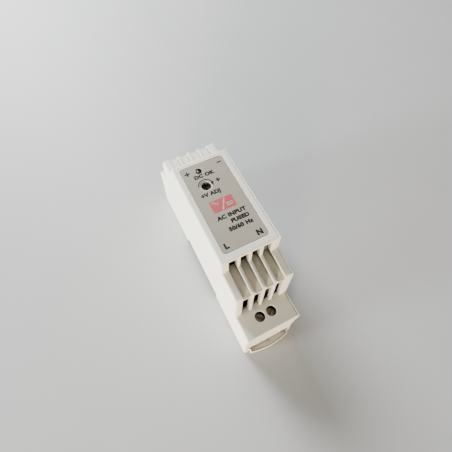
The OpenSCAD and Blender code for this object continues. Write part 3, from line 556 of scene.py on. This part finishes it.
shell_low, shell_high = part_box("main_shell")
cover_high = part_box("side_cover")[1]
latch_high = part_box("din_latch")[1]

# Where the cover's rim faces the shell across the parting groove.
SEAM_X = shell_high.x + 0.1 * MM
# How round the outer side of each is.
SHELL_ROUND = 1.0 * MM
COVER_ROUND = 0.4 * MM

# Depths inside the outline, seen from the side: just within the wall, on the outline and clearly under it.
WALL = 1.55 * MM
ON_OUTLINE = 0.02 * MM
UNDER_OUTLINE = 0.2 * MM
# Heights: the front face, the edge of its plate, the latch's guides, the foot and the slot for the rail.
FRONT_Z = shell_high.z - 0.5 * MM
PLATE_EDGE_Z = (shell_high.z - 1.6 * MM, shell_high.z - 0.6 * MM)
GUIDE_Z = latch_high.z + 1 * MM
FOOT_Z = 0.2 * MM
RAIL_ZONE_Z = 6 * MM
RAIL_ZONE_Y = (-17.5 * MM, 21 * MM)
# Edges across the housing that are longer than a rib is wide, and the facets of its round holes, by length.
RIB_WIDTH = 1.2 * MM
HOLE_FACET = 0.9 * MM

# How round the housing's edges are, by where they lie. A fillet is in an inner corner.
ROUND = {
    "rail_side": 0.3 * MM,
    "seam": 0.18 * MM,
    "foot": 0.2 * MM,
    "guide": 0.12 * MM,
    "plate_edge": 0.15 * MM,
    "step": 0.9 * MM,
    "step_fillet": 0.3 * MM,
    "hole_rim": 0.12 * MM,
    "rib": 0.26 * MM,
    "rib_fillet": 0.15 * MM,
}

# The latch's tab is outside the housing beyond TAB_OUT_Y.
TAB_OUT_Y = -45.7 * MM
TAB_ROUND = 0.16 * MM
LATCH_ROUND = 0.1 * MM


def same(a, b):
    """Whether two lengths are the same, but for the CAD mesh's rounding."""
    return abs(a - b) < SAME_PLACE


def housing_rule(outline, outer_x, seam_x, outer_radius):
    """How round each edge of the shell or the cover is.

    The outer side is rounded widely, and ribs, holes and the seam narrowly. Edges inside it stay sharp.
    """
    loop = list(zip(outline, outline[1:] + outline[:1]))

    def depth(co):
        """How far inside the outline a point lies."""
        p = Vector((co.y, co.z))
        return min(line_distance(p, a, b) for a, b in loop)

    def rule(e, turn):
        a, b = (v.co for v in e.verts)
        middle = (a + b) / 2
        deepest = max(depth(a), depth(b))
        outer = turn > 0
        across = same(a.y, b.y) and same(a.z, b.z)
        by_rail = middle.z < RAIL_ZONE_Z and RAIL_ZONE_Y[0] < middle.y < RAIL_ZONE_Y[1]
        if deepest > WALL:
            return 0
        if same(a.x, outer_x) and same(b.x, outer_x):
            return ROUND["rail_side"] if by_rail else outer_radius
        if same(a.x, seam_x) and same(b.x, seam_x):
            return ROUND["seam"]
        if by_rail or middle.z < FOOT_Z:
            return ROUND["foot"]
        if middle.z < GUIDE_Z:
            return ROUND["guide"]
        if across and PLATE_EDGE_Z[0] < middle.z < PLATE_EDGE_Z[1]:
            return ROUND["plate_edge"]
        if across and deepest < ON_OUTLINE and e.calc_length() > RIB_WIDTH:
            return ROUND["step"] if outer else ROUND["step_fillet"]
        if depth(middle) > UNDER_OUTLINE and middle.z > FRONT_Z:
            return 0
        if e.calc_length() < HOLE_FACET and same(a.z, b.z):
            return ROUND["hole_rim"]
        return ROUND["rib"] if outer else ROUND["rib_fillet"]

    return rule


def build_housing():
    """The shell and the cover as rounded mouldings."""
    for node, outer_x, seam_x, radius in (
        ("main_shell", shell_low.x, shell_high.x, SHELL_ROUND),
        ("side_cover", cover_high.x, SEAM_X, COVER_ROUND),
    ):
        bm = welded(node)
        rule = housing_rule(outline_of(bm, outer_x), outer_x, seam_x, radius)
        bm.free()
        rounded_copy(node, node + "_moulding", rule, "housing", HOUSING)


def build_latch():
    """The latch as a moulding, rounder at its pull tab than inside the housing."""

    def rule(e, turn):
        if turn < 0:
            return 0
        outside = min(v.co.y for v in e.verts) < TAB_OUT_Y
        return TAB_ROUND if outside else LATCH_ROUND

    rounded_copy("din_latch", "latch_moulding", rule, "housing", "latch")


# ----------------------------------------------------- label and its print
# Places and sizes on the label are in mm.

label_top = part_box("front_label")[1].z

# How thick the print is, how far the badge's signs lie over it, and how wide its plain strokes are.
INK = 0.012 * MM
SIGN_LIFT = 0.008 * MM
STROKE = 0.6

# The typeface's capitals as a share of its size, and how far the strokes and the letters are widened.
CAPITAL_SHARE = 0.72
BOLD = 0.1
WIDEN = 1.08
SMALL_TYPE = 1.75
LARGE_TYPE = 2.2
# Each word's x and y, the height of its capitals, and what x is measured to.
WORDS = (
    ("DC OK", -5.35, 17.25, SMALL_TYPE, "LEFT"),
    ("+V ADJ", -6.6, 8.2, SMALL_TYPE, "LEFT"),
    ("AC INPUT", 6.5, -3.2, SMALL_TYPE, "RIGHT"),
    ("FUSED", 6.5, -6.0, SMALL_TYPE, "RIGHT"),
    ("50/60 Hz", 6.5, -8.9, SMALL_TYPE, "RIGHT"),
    ("L", -7.2, -14.2, LARGE_TYPE, "CENTER"),
    ("N", 6.4, -14.4, LARGE_TYPE, "CENTER"),
)
# Plus and minus signs: x, y and length.
OUTPUT_PLUS = (-7.2, 20.1, 2.3)
TRIMMER_PLUS = (2.8, 12.8, 1.9)
OUTPUT_MINUS = (7.0, 20.4, 1.9)

# The arrow round the trimmer's hole, its angles in degrees from +X.
ARROW_RADIUS = 2.95
ARROW_WIDTH = 0.42
ARROW_FROM = 172
ARROW_TO = 12
HEAD_BACK = 16
HEAD_TIP = -20
HEAD_HALF_WIDTH = 0.8

# The badge and its signs. A box is its lowest x and y and its highest x and y.
BADGE_BOX = (-5.15, -0.8, 4.35, 4.6)
BADGE_CORNER = 0.5
WAVE_START = (-4.3, 3.25)
WAVE_LENGTH = 2.6
WAVE_HEIGHT = 0.55
WAVE_STROKE = 0.4
WAVE_STEPS = 16
SLASH = [(-1.6, -0.4), (-1.0, -0.4), (1.4, 4.2), (0.8, 4.2)]
EQUALS_BARS = ((0.9, 1.35, 3.6, 1.75), (0.9, 0.45, 3.6, 0.85))


def thickness(mesh):
    """How thick a mesh is along Z."""
    heights = [v.co.z for v in mesh.vertices]
    return max(heights) - min(heights)


def ink_text(words, x, y, height, anchor):
    """Lettering as a thin layer on the label; x, y is the middle of its height at the anchor."""
    curve = bpy.data.curves.new("ink", "FONT")
    curve.body = words
    curve.size = (height / CAPITAL_SHARE - 2 * BOLD) * MM
    curve.space_character = 1.1
    curve.bevel_depth = BOLD * height * MM
    curve.bevel_resolution = 0
    curve.align_x = anchor
    curve.resolution_u = 4
    mesh = mesh_of_curve(curve)
    mesh.transform(Matrix.Diagonal((WIDEN, 1, INK / thickness(mesh), 1)))
    mesh.transform(Matrix.Translation((x * MM, (y - height / 2) * MM, label_top + INK / 2)))
    return mesh


def ink_shape(outline, lift=0.0):
    """A flat printed shape on the label."""
    return slab(outline, label_top + lift, label_top + lift + INK)


def bar(x, y, width, height):
    """A printed bar about x, y."""
    return ink_shape(box_outline(x - width / 2, y - height / 2, x + width / 2, y + height / 2))


def plus_sign(x, y, size):
    """A printed plus sign about x, y: one long bar and the two halves of the other."""
    arm = (size - STROKE) / 2
    side = (size + STROKE) / 4
    return [bar(x, y, size, STROKE), bar(x, y + side, STROKE, arm), bar(x, y - side, STROKE, arm)]


def turn_arrow(centre):
    """The arrow round the trimmer's hole, which shows the way to a higher voltage."""
    head = [
        at_angle(centre, ARROW_RADIUS - HEAD_HALF_WIDTH, HEAD_BACK),
        at_angle(centre, ARROW_RADIUS + HEAD_HALF_WIDTH, HEAD_BACK),
        at_angle(centre, ARROW_RADIUS, HEAD_TIP),
    ]
    band = arc_band(centre, ARROW_RADIUS, ARROW_WIDTH, ARROW_FROM, ARROW_TO)
    return [ink_shape(band), ink_shape(head)]


def badge_signs():
    """The general signs of a supply: a wave for alternating and two bars for direct current, and a slash."""
    wave = []
    for i in range(WAVE_STEPS + 1):
        share = i / WAVE_STEPS
        rise = WAVE_HEIGHT * math.sin(2 * math.pi * share)
        wave.append((WAVE_START[0] + WAVE_LENGTH * share, WAVE_START[1] + rise))
    above = [(x, y + WAVE_STROKE / 2) for x, y in wave]
    below = [(x, y - WAVE_STROKE / 2) for x, y in wave]
    outlines = [below + above[::-1], SLASH] + [box_outline(*bar_box) for bar_box in EQUALS_BARS]
    return [ink_shape(outline, SIGN_LIFT) for outline in outlines]


def build_label():
    """The label's film, its lettering and signs, and a plain red badge."""
    softened("front_label", "label", 0.06 * MM)
    rotor_low, rotor_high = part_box("trimmer_rotor")
    trimmer = ((rotor_low + rotor_high) / 2 / MM).xy
    ink = [ink_text(*words) for words in WORDS]
    ink += plus_sign(*OUTPUT_PLUS) + plus_sign(*TRIMMER_PLUS)
    ink.append(bar(*OUTPUT_MINUS, STROKE))
    ink += turn_arrow(trimmer)
    badge = ink_shape(rounded_box(*BADGE_BOX, BADGE_CORNER))
    signs = joined(badge_signs(), "label_badge_sign")
    new_piece("label_lettering", joined(ink, "label_lettering"), "ink")
    new_piece("label_badge", badge, "badge")
    new_piece("label_badge_sign", signs, "badge_light")


# --------------------------------------------------------- moving pieces

SCREWS = ("ac_screw_l", "ac_screw_n", "dc_screw_pos", "dc_screw_neg")
SCREW_ROUND = 0.13 * MM
# The thread: its pitch, the radius of its crest, the radius of the ridge itself, where it starts above the
# tip, the points in a turn, and the length of screw that it leaves free.
THREAD_PITCH = 0.5 * MM
THREAD_CREST = 1.28 * MM
THREAD_RIDGE = 0.1 * MM
THREAD_START = 0.15 * MM
THREAD_STEPS = 24
UNTHREADED = 1.8 * MM

# The spring: the radius of its wire, its turns, the points in a turn, and the closed turns at each end.
SPRING_WIRE = 0.22 * MM
SPRING_TURNS = 9
SPRING_STEPS = 28
CLOSED_TURNS = 0.9


def body_of(node):
    """The body that a node belongs to."""
    return next(body for body, nodes in frame["record"]["behaviour"]["bodies"].items() if node in nodes)


def build_screws():
    """Terminal screws: a slotted, domed head with rounded rims, and a threaded shank."""

    def rule(e, turn):
        return SCREW_ROUND if turn > 0 else 0

    for node in SCREWS:
        body = body_of(node)
        rounded_copy(node, node + "_slotted", rule, "steel", body, segments=2)
        low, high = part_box(node)
        axis = ((low + high) / 2).xy

        def thread_point(t):
            """The middle of the thread's ridge, t turns up."""
            x, y = at_angle(axis, THREAD_CREST - THREAD_RIDGE, 360 * t)
            return (x, y, low.z + THREAD_START + THREAD_PITCH * t)

        turns = int((high.z - low.z - UNTHREADED) / THREAD_PITCH)
        thread = smoothed(tube(coil_points(turns, THREAD_STEPS, thread_point), THREAD_RIDGE, sides=8))
        new_piece(node + "_thread", thread, "steel", body)


def build_spring():
    """The latch's spring, with closed ends."""
    low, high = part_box("latch_spring")
    centre = (low + high) / 2
    radius = (high.z - low.z) / 2 - SPRING_WIRE
    thick = 2 * SPRING_WIRE
    open_length = high.y - low.y - thick - 2 * thick * CLOSED_TURNS

    def spring_point(t):
        """The middle of the wire, t turns from the fixed end."""
        closed_so_far = min(t, CLOSED_TURNS) + max(t - SPRING_TURNS + CLOSED_TURNS, 0)
        share = min(max((t - CLOSED_TURNS) / (SPRING_TURNS - 2 * CLOSED_TURNS), 0), 1)
        y = low.y + SPRING_WIRE + thick * closed_so_far + share * open_length
        x, z = at_angle((centre.x, centre.z), radius, 360 * t)
        return (x, y, z)

    coil = smoothed(tube(coil_points(SPRING_TURNS, SPRING_STEPS, spring_point), SPRING_WIRE))
    spring = new_piece("latch_spring_coil", coil, "spring")
    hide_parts("latch_spring")
    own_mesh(spring)


# ------------------------------------------------------ parts on the board

board_low, board_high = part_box("main_board")

# A lead stands out behind the board by more than LEAD_OUT, is less than LEAD_WIDTH wide, and its rim has no
# edge over LEAD_EDGE.
LEAD_OUT = 0.1 * MM
LEAD_WIDTH = 1 * MM
LEAD_EDGE = 0.3 * MM

# Radii of the wire, turns, and points in a turn. A lower squareness follows the ring's section more closely.
CHOKE_WIRE = 0.36 * MM
CHOKE_TURNS = 7
CHOKE_SQUARENESS = 0.4
INDUCTOR_WIRE = 0.32 * MM
COIL_STEPS = 36

# Electrolytic capacitors: whether each lies along X, and the side its stripe is on, in degrees.
CANS = (("bulk_capacitor", False, 90), ("output_capacitor_a", True, -90), ("output_capacitor_b", True, -90))
SLEEVE_ROUND = 0.35 * MM
# The stripe: half its width in degrees, what it leaves free at the top, and where it starts over the foot.
STRIPE_HALF_ANGLE = 24
STRIPE_TOP_GAP = 0.9 * MM
LYING_START = 3.6 * MM
STANDING_START = 4 * MM
# The scored top: its share of the can's radius, half the width of its score in mm, its thickness, and how
# far it is sunk in a standing can.
VENT_SHARE = 0.55
VENT_GAP = 0.12
VENT_THICKNESS = 0.2 * MM
STANDING_SUNK = 0.3 * MM

# Layers round a can or a resistor, in mm: how thick, and how far the middle is inside the surface.
LAYER = 0.06
LAYER_INSET = 0.01

# The resistor's rings: how far each is along its body, and its finish.
RING_WIDTH = 0.55 * MM
RINGS = ((0.2, "rotor"), (0.36, "black"), (0.52, "badge"), (0.8, "yellow"))

PRINT_LINE = 0.18 * MM
PRINT_GAP = 0.35 * MM
PRINT_THICKNESS = 0.02 * MM
# A solder joint from the board to the lead's tip: radius and height in mm.
SOLDER_PROFILE = ((0, 0), (0.85, 0), (0.55, 0.12), (0.38, 0.32), (0.34, 0.55), (0, 0.6))


def pins_of(node):
    """Where a part's leads come through the board, as (y, z) points in metres."""
    groups = []
    for v in frame["nodes"][node].data.vertices:
        if v.co.x > board_low.x - LEAD_OUT:
            continue
        spot = Vector((v.co.y, v.co.z))
        group = next((g for g in groups if (g[0] - spot).length < LEAD_WIDTH), None)
        if group is None:
            groups.append([spot])
        else:
            group.append(spot)
    return [sum(g, Vector((0, 0))) / len(g) for g in groups]


def finished(node, finish, width):
    """A part shown with its larger edges rounded by width and its leads left as they are."""

    def rule(e, turn):
        return width if e.calc_length() > LEAD_EDGE else 0

    return rounded_copy(node, node + "_finished", rule, finish, HOUSING)


def dipped(node, finish):
    """A disc in dipped lacquer: its rims are rounded as far as its thickness lets them."""
    low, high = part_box(node)

    def rule(e, turn):
        on_rim = all(min(abs(v.co.z - low.z), abs(v.co.z - high.z)) < ON_OUTLINE for v in e.verts)
        return LARGEST_ROUND if on_rim else 0

    return rounded_copy(node, node + "_dipped", rule, finish, HOUSING, segments=5)


def wound(name, node, path, radius):
    """A winding of real wire along path, standing for a node."""
    wire = new_piece(name, smoothed(tube(path, radius)), "copper")
    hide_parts(node)


def led_to_pins(node, path, radius):
    """path with its two ends led down through the board at the node's pins."""
    start = Vector((path[0][1], path[0][2]))
    pins = sorted(pins_of(node), key=lambda pin: (pin - start).length)
    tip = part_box(node)[0].x + radius / 2
    first, last = [[(tip, pin.x, pin.y), (board_high.x + radius, pin.x, pin.y)] for pin in pins]
    return first + path + last[::-1]


def build_choke():
    """Two windings of thick wire on the choke's ring, one on each half."""
    low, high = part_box("choke_core")
    centre = (low + high) / 2
    outer = (high.y - low.y) / 2
    spots = [Vector((v.co.y, v.co.z)) for v in frame["nodes"]["choke_core"].data.vertices]
    inner = min((spot - centre.yz).length for spot in spots)
    half_width = (outer - inner) / 2 + CHOKE_WIRE
    half_height = (high.x - low.x) / 2 + CHOKE_WIRE

    def squared(share):
        """A sine or cosine pushed outwards, so that a turn follows the ring's square section."""
        return math.copysign(abs(share) ** CHOKE_SQUARENESS, share)

    for node, middle in (("choke_winding_a", 0.0), ("choke_winding_b", math.pi)):
        w_low, w_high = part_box(node)
        reach = max(abs(w_low.y - centre.y), abs(w_high.y - centre.y))
        half_arc = math.asin((w_high.z - w_low.z) / 2 / reach) - CHOKE_WIRE / inner

        def winding_point(t):
            """The middle of the wire, t turns along this half of the ring."""
            around = 2 * math.pi * t + math.pi
            r = (outer + inner) / 2 + squared(math.cos(around)) * half_width
            x = centre.x + squared(math.sin(around)) * half_height
            along = middle + half_arc * (2 * t / CHOKE_TURNS - 1)
            return (x, centre.y + r * math.cos(along), centre.z + r * math.sin(along))

        path = coil_points(CHOKE_TURNS, COIL_STEPS, winding_point)
        wound(node + "_wire", node, led_to_pins(node, path, CHOKE_WIRE), CHOKE_WIRE)


def build_inductor():
    """One layer of wire on the output inductor's drum."""
    low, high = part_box("inductor_winding")
    centre = (low + high) / 2
    radius = (high.y - low.y) / 2 - INDUCTOR_WIRE
    start = low.x + INDUCTOR_WIRE
    length = high.x - low.x - 2 * INDUCTOR_WIRE
    turns = int(length / (2 * INDUCTOR_WIRE))

    def winding_point(t):
        """The middle of the wire, t turns from the board."""
        y, z = at_angle(centre.yz, radius, 360 * t)
        return (start + length * t / turns, y, z)

    path = coil_points(turns, COIL_STEPS, winding_point)
    wound("inductor_winding_wire", "inductor_winding", path, INDUCTOR_WIRE)


def stood(mesh, centre, along_x):
    """A mesh made about Z, moved to centre and turned along X if asked."""
    turn = Matrix.Rotation(math.pi / 2, 4, "Y") if along_x else Matrix.Identity(4)
    mesh.transform(Matrix.Translation(centre) @ turn)
    return mesh


def can_stripe(radius, side, base, top):
    """The polarity stripe down one side of a can's sleeve."""
    start = side - STRIPE_HALF_ANGLE
    end = side + STRIPE_HALF_ANGLE
    band = arc_band((0, 0), radius - LAYER_INSET, LAYER, start, end, steps=16)
    return slab(band, base, top - STRIPE_TOP_GAP)


def can_vent(radius, top):
    """The scored top of a can: four sectors with a cross between them."""
    disc = radius * VENT_SHARE
    edge = math.degrees(math.asin(VENT_GAP / disc))
    sectors = []
    for turn in (0, 90, 180, 270):
        tip = at_angle((0, 0), VENT_GAP * math.sqrt(2), turn + 45)
        outline = [tip] + arc((0, 0), disc, turn + edge, turn + 90 - edge, steps=10)
        sectors.append(slab(outline, top - VENT_THICKNESS, top))
    return joined(sectors, "vent")


def build_cans():
    """Electrolytic capacitors: a sleeve, a polarity stripe and a scored metal top."""
    for node, along_x, side in CANS:
        finished(node, "sleeve", SLEEVE_ROUND)
        low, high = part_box(node)
        middle = (low + high) / 2
        radius = (high.y - low.y) / 2
        if along_x:
            foot = Vector((0, middle.y, middle.z))
            base = board_high.x + LYING_START
            top = high.x
            vent_top = top
        else:
            foot = Vector((high.x - radius, middle.y, 0))
            base = low.z + STANDING_START
            top = high.z
            vent_top = top - STANDING_SUNK
        stripe = stood(can_stripe(radius / MM, side, base, top), foot, along_x)
        vent = stood(can_vent(radius / MM, vent_top), foot, along_x)
        new_piece(node + "_stripe", stripe, "stripe")
        new_piece(node + "_vent", vent, "can_top")


def build_resistor_bands():
    """The painted rings of the start-up resistor, all in generic colours."""
    low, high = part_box("startup_resistor")
    radius = (high.y - low.y) / 2
    axis = Vector((high.x - radius, (low.y + high.y) / 2, 0))
    skin = 0.95 * radius
    heights = [
        v.co.z for v in frame["nodes"]["startup_resistor"].data.vertices
        if (v.co.xy - axis.xy).length > skin and v.co.x > board_high.x
    ]
    start = min(heights)
    length = max(heights) - start
    for share, finish in RINGS:
        z = start + share * length
        halves = []
        for side in (0, 180):
            band = arc_band((0, 0), radius / MM - LAYER_INSET, LAYER, side, side + 180, steps=20)
            halves.append(slab(band, z, z + RING_WIDTH))
        ring = joined(halves, "ring")
        name = f"startup_resistor_band_{int(share * 100)}"
        new_piece(name, stood(ring, axis, False), finish)


def frame_bars(y0, y1, z0, z1):
    """The four printed lines of a rectangle on the board, each as its box in y and z."""
    return (
        (y0, z0, y1, z0 + PRINT_LINE),
        (y0, z1 - PRINT_LINE, y1, z1),
        (y0, z0 + PRINT_LINE, y0 + PRINT_LINE, z1 - PRINT_LINE),
        (y1 - PRINT_LINE, z0 + PRINT_LINE, y1, z1 - PRINT_LINE),
    )


def build_board_print():
    """White outlines printed on the board round each part's place, made flat and then stood against it."""
    onto_board = Matrix(((0, 0, 1, 0), (1, 0, 0, 0), (0, 1, 0, 0), (0, 0, 0, 1)))
    bars = []
    for node in OUTLINED:
        low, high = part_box(node)
        y0 = max(low.y - PRINT_GAP, board_low.y + PRINT_GAP)
        y1 = min(high.y + PRINT_GAP, board_high.y - PRINT_GAP)
        for line in frame_bars(y0, y1, low.z - PRINT_GAP, high.z + PRINT_GAP):
            outline = box_outline(*(place / MM for place in line))
            bars.append(slab(outline, board_high.x, board_high.x + PRINT_THICKNESS))
    mesh = joined(bars, "print")
    mesh.transform(onto_board)
    new_piece("board_print", mesh, "white")


def build_solder():
    """A small cone of solder round every lead on the back of the board."""
    profile = [(r * MM, h * MM) for r, h in SOLDER_PROFILE]
    turn = Matrix.Rotation(-math.pi / 2, 4, "Y")
    drops = []
    for node in SOLDERED:
        for pin in pins_of(node):
            bm = lathe(profile, steps=16)
            bm.transform(Matrix.Translation((board_low.x, pin.x, pin.y)) @ turn)
            drops.append(mesh_from(bm, "drop"))
    new_piece("solder_joints", smoothed(joined(drops, "solder_joints")), "tin")


# Nodes shown with softened edges: finish and material slot.
SOFTENED = {
    "main_board": ("board", "board_laminate"),
    "ac_terminal_block": ("terminal", "terminal_plastic"),
    "dc_terminal_block": ("terminal", "terminal_plastic"),
    "ac_contact_l": ("brass", "contact_brass"),
    "ac_contact_n": ("brass", "contact_brass"),
    "dc_contact_pos": ("brass", "contact_brass"),
    "dc_contact_neg": ("brass", "contact_brass"),
    "ac_cage_l": ("steel", "plated_steel"),
    "ac_cage_n": ("steel", "plated_steel"),
    "dc_cage_pos": ("steel", "plated_steel"),
    "dc_cage_neg": ("steel", "plated_steel"),
    "trimmer_body": ("trimmer", "trimmer_plastic"),
    "trimmer_rotor": ("rotor", "rotor_plastic"),
    "dc_ok_lamp": ("lens", "lamp_lens"),
    "choke_core": ("ferrite", "ferrite"),
    "bridge_rectifier": ("black", "black_plastic"),
    "switch_heatsink": ("aluminium", "heatsink_aluminium"),
    "controller_chip": ("black", "black_plastic"),
    "startup_resistor": ("tan", "resistor_body"),
    "transformer_core": ("ferrite", "ferrite"),
    "transformer_bobbin": ("black", "black_plastic"),
    "transformer_winding": ("tape", "winding_tape"),
    "diode_heatsink": ("aluminium", "heatsink_aluminium"),
    "inductor_core": ("ferrite", "ferrite"),
    "optocoupler": ("white", "white_plastic"),
}
# Moulded parts: finish, material slot and how round their edges are.
MOULDED = {
    "input_fuse": ("black", "black_plastic", 0.5 * MM),
    "x_capacitor": ("yellow", "yellow_plastic", 0.6 * MM),
    "switch_transistor": ("black", "black_plastic", 0.2 * MM),
    "output_diode": ("black", "black_plastic", 0.2 * MM),
    "shunt_regulator": ("black", "black_plastic", 0.25 * MM),
}
# Discs dipped in lacquer: finish and material slot.
DIPPED = {
    "inrush_thermistor": ("black_dip", "disc_black"),
    "surge_varistor": ("blue_dip", "disc_blue"),
    "y_capacitor": ("blue_dip", "disc_blue"),
}
OUTLINED = [*MOULDED, *DIPPED, "choke_core", "bridge_rectifier", "controller_chip", "transformer_bobbin",
            "optocoupler", "bulk_capacitor", "output_capacitor_a", "output_capacitor_b", "inductor_core",
            "startup_resistor", "trimmer_body"]
SOLDERED = [*OUTLINED, "choke_winding_a", "choke_winding_b", "dc_ok_lamp", "ac_contact_l", "ac_contact_n",
            "dc_contact_pos", "dc_contact_neg"]


def build_listed_parts():
    """The parts that need no more than rounded edges and a finish."""
    for node, (finish, slot) in SOFTENED.items():
        softened(node, finish)
    for node, (finish, slot, width) in MOULDED.items():
        finished(node, finish, width)
    for node, (finish, slot) in DIPPED.items():
        dipped(node, finish)


# ------------------------------------------------------- floor, light, view


def build_floor():
    """A plain pale floor."""
    pale = (0.42, 0.42, 0.425)
    paler = (0.46, 0.46, 0.46)
    mat, nodes, links, shader = node_tree("floor_pale")
    where = nodes.new("ShaderNodeTexCoord").outputs["Object"]
    mottle = noise(nodes, links, where, 30 * MM, detail=5)
    links.new(mixed(nodes, links, mottle, pale, paler), shader.inputs["Base Color"])
    shader.inputs["Roughness"].default_value = 0.6
    bm = bmesh.new()
    bmesh.ops.create_grid(bm, x_segments=1, y_segments=1, size=2.0)
    floor = bpy.data.objects.new("floor", mesh_from(bm, "floor"))
    bpy.context.scene.collection.objects.link(floor)
    floor.data.materials.append(mat)


def area_light(name, toward, distance, size, power, colour):
    """A soft light that shines on the object's middle from the direction toward."""
    data = bpy.data.lights.new(name, "AREA")
    data.shape = "DISK"
    data.size = size
    data.energy = power
    data.color = colour
    light = bpy.data.objects.new(name, data)
    bpy.context.scene.collection.objects.link(light)
    aim = Vector((0, 0, 25 * MM))
    direction = Vector(toward).normalized()
    light.location = aim + direction * distance
    light.rotation_mode = "QUATERNION"
    light.rotation_quaternion = direction.to_track_quat("Z", "Y")


def build_light():
    """Cool daylight from the left and the far side, warmer light from the near side, and a weak surround."""
    area_light("low_window", toward=(-0.99, 0.13, 0.07), distance=1.3, size=0.3, power=48,
               colour=(0.80, 0.93, 1.0))
    area_light("high_window", toward=(-0.15, 0.82, 0.5), distance=0.9, size=0.4, power=22,
               colour=(0.96, 0.98, 1.0))
    area_light("room", toward=(-0.62, -0.77, 0.09), distance=1.1, size=0.26, power=32,
               colour=(1.0, 0.86, 0.66))
    world = bpy.data.worlds.new("studio")
    world.use_nodes = True
    surround = world.node_tree.nodes["Background"]
    surround.inputs["Color"].default_value = (1.0, 0.94, 0.85, 1)
    surround.inputs["Strength"].default_value = 0.24
    bpy.context.scene.world = world


def build_camera():
    """Looks down on the object from the near left, turned about its own axis a little."""
    azimuth = math.radians(-29.6)
    elevation = math.radians(63.4)
    roll = math.radians(3.0)
    target = Vector((2.8 * MM, 4.2 * MM, 30 * MM))
    distance = 146.8 * MM
    level = math.cos(elevation)
    back = Vector((math.sin(azimuth) * level, -math.cos(azimuth) * level, math.sin(elevation)))
    right = Vector((math.cos(azimuth), math.sin(azimuth), 0))
    up = back.cross(right)
    rolled_right = right * math.cos(roll) + up * math.sin(roll)
    rolled_up = back.cross(rolled_right)
    data = bpy.data.cameras.new("camera")
    data.sensor_width = 36
    data.lens = 25.5
    data.clip_start = 5 * MM
    camera = bpy.data.objects.new("camera", data)
    bpy.context.scene.collection.objects.link(camera)
    camera.location = target + back * distance
    camera.rotation_mode = "QUATERNION"
    camera.rotation_quaternion = Matrix((rolled_right, rolled_up, back)).transposed().to_quaternion()
    bpy.context.scene.camera = camera


build_board_print()
build_solder()
build_housing()
build_latch()
build_label()
build_screws()
build_spring()
build_choke()
build_inductor()
build_cans()
build_resistor_bands()
build_listed_parts()
build_floor()
build_light()
build_camera()
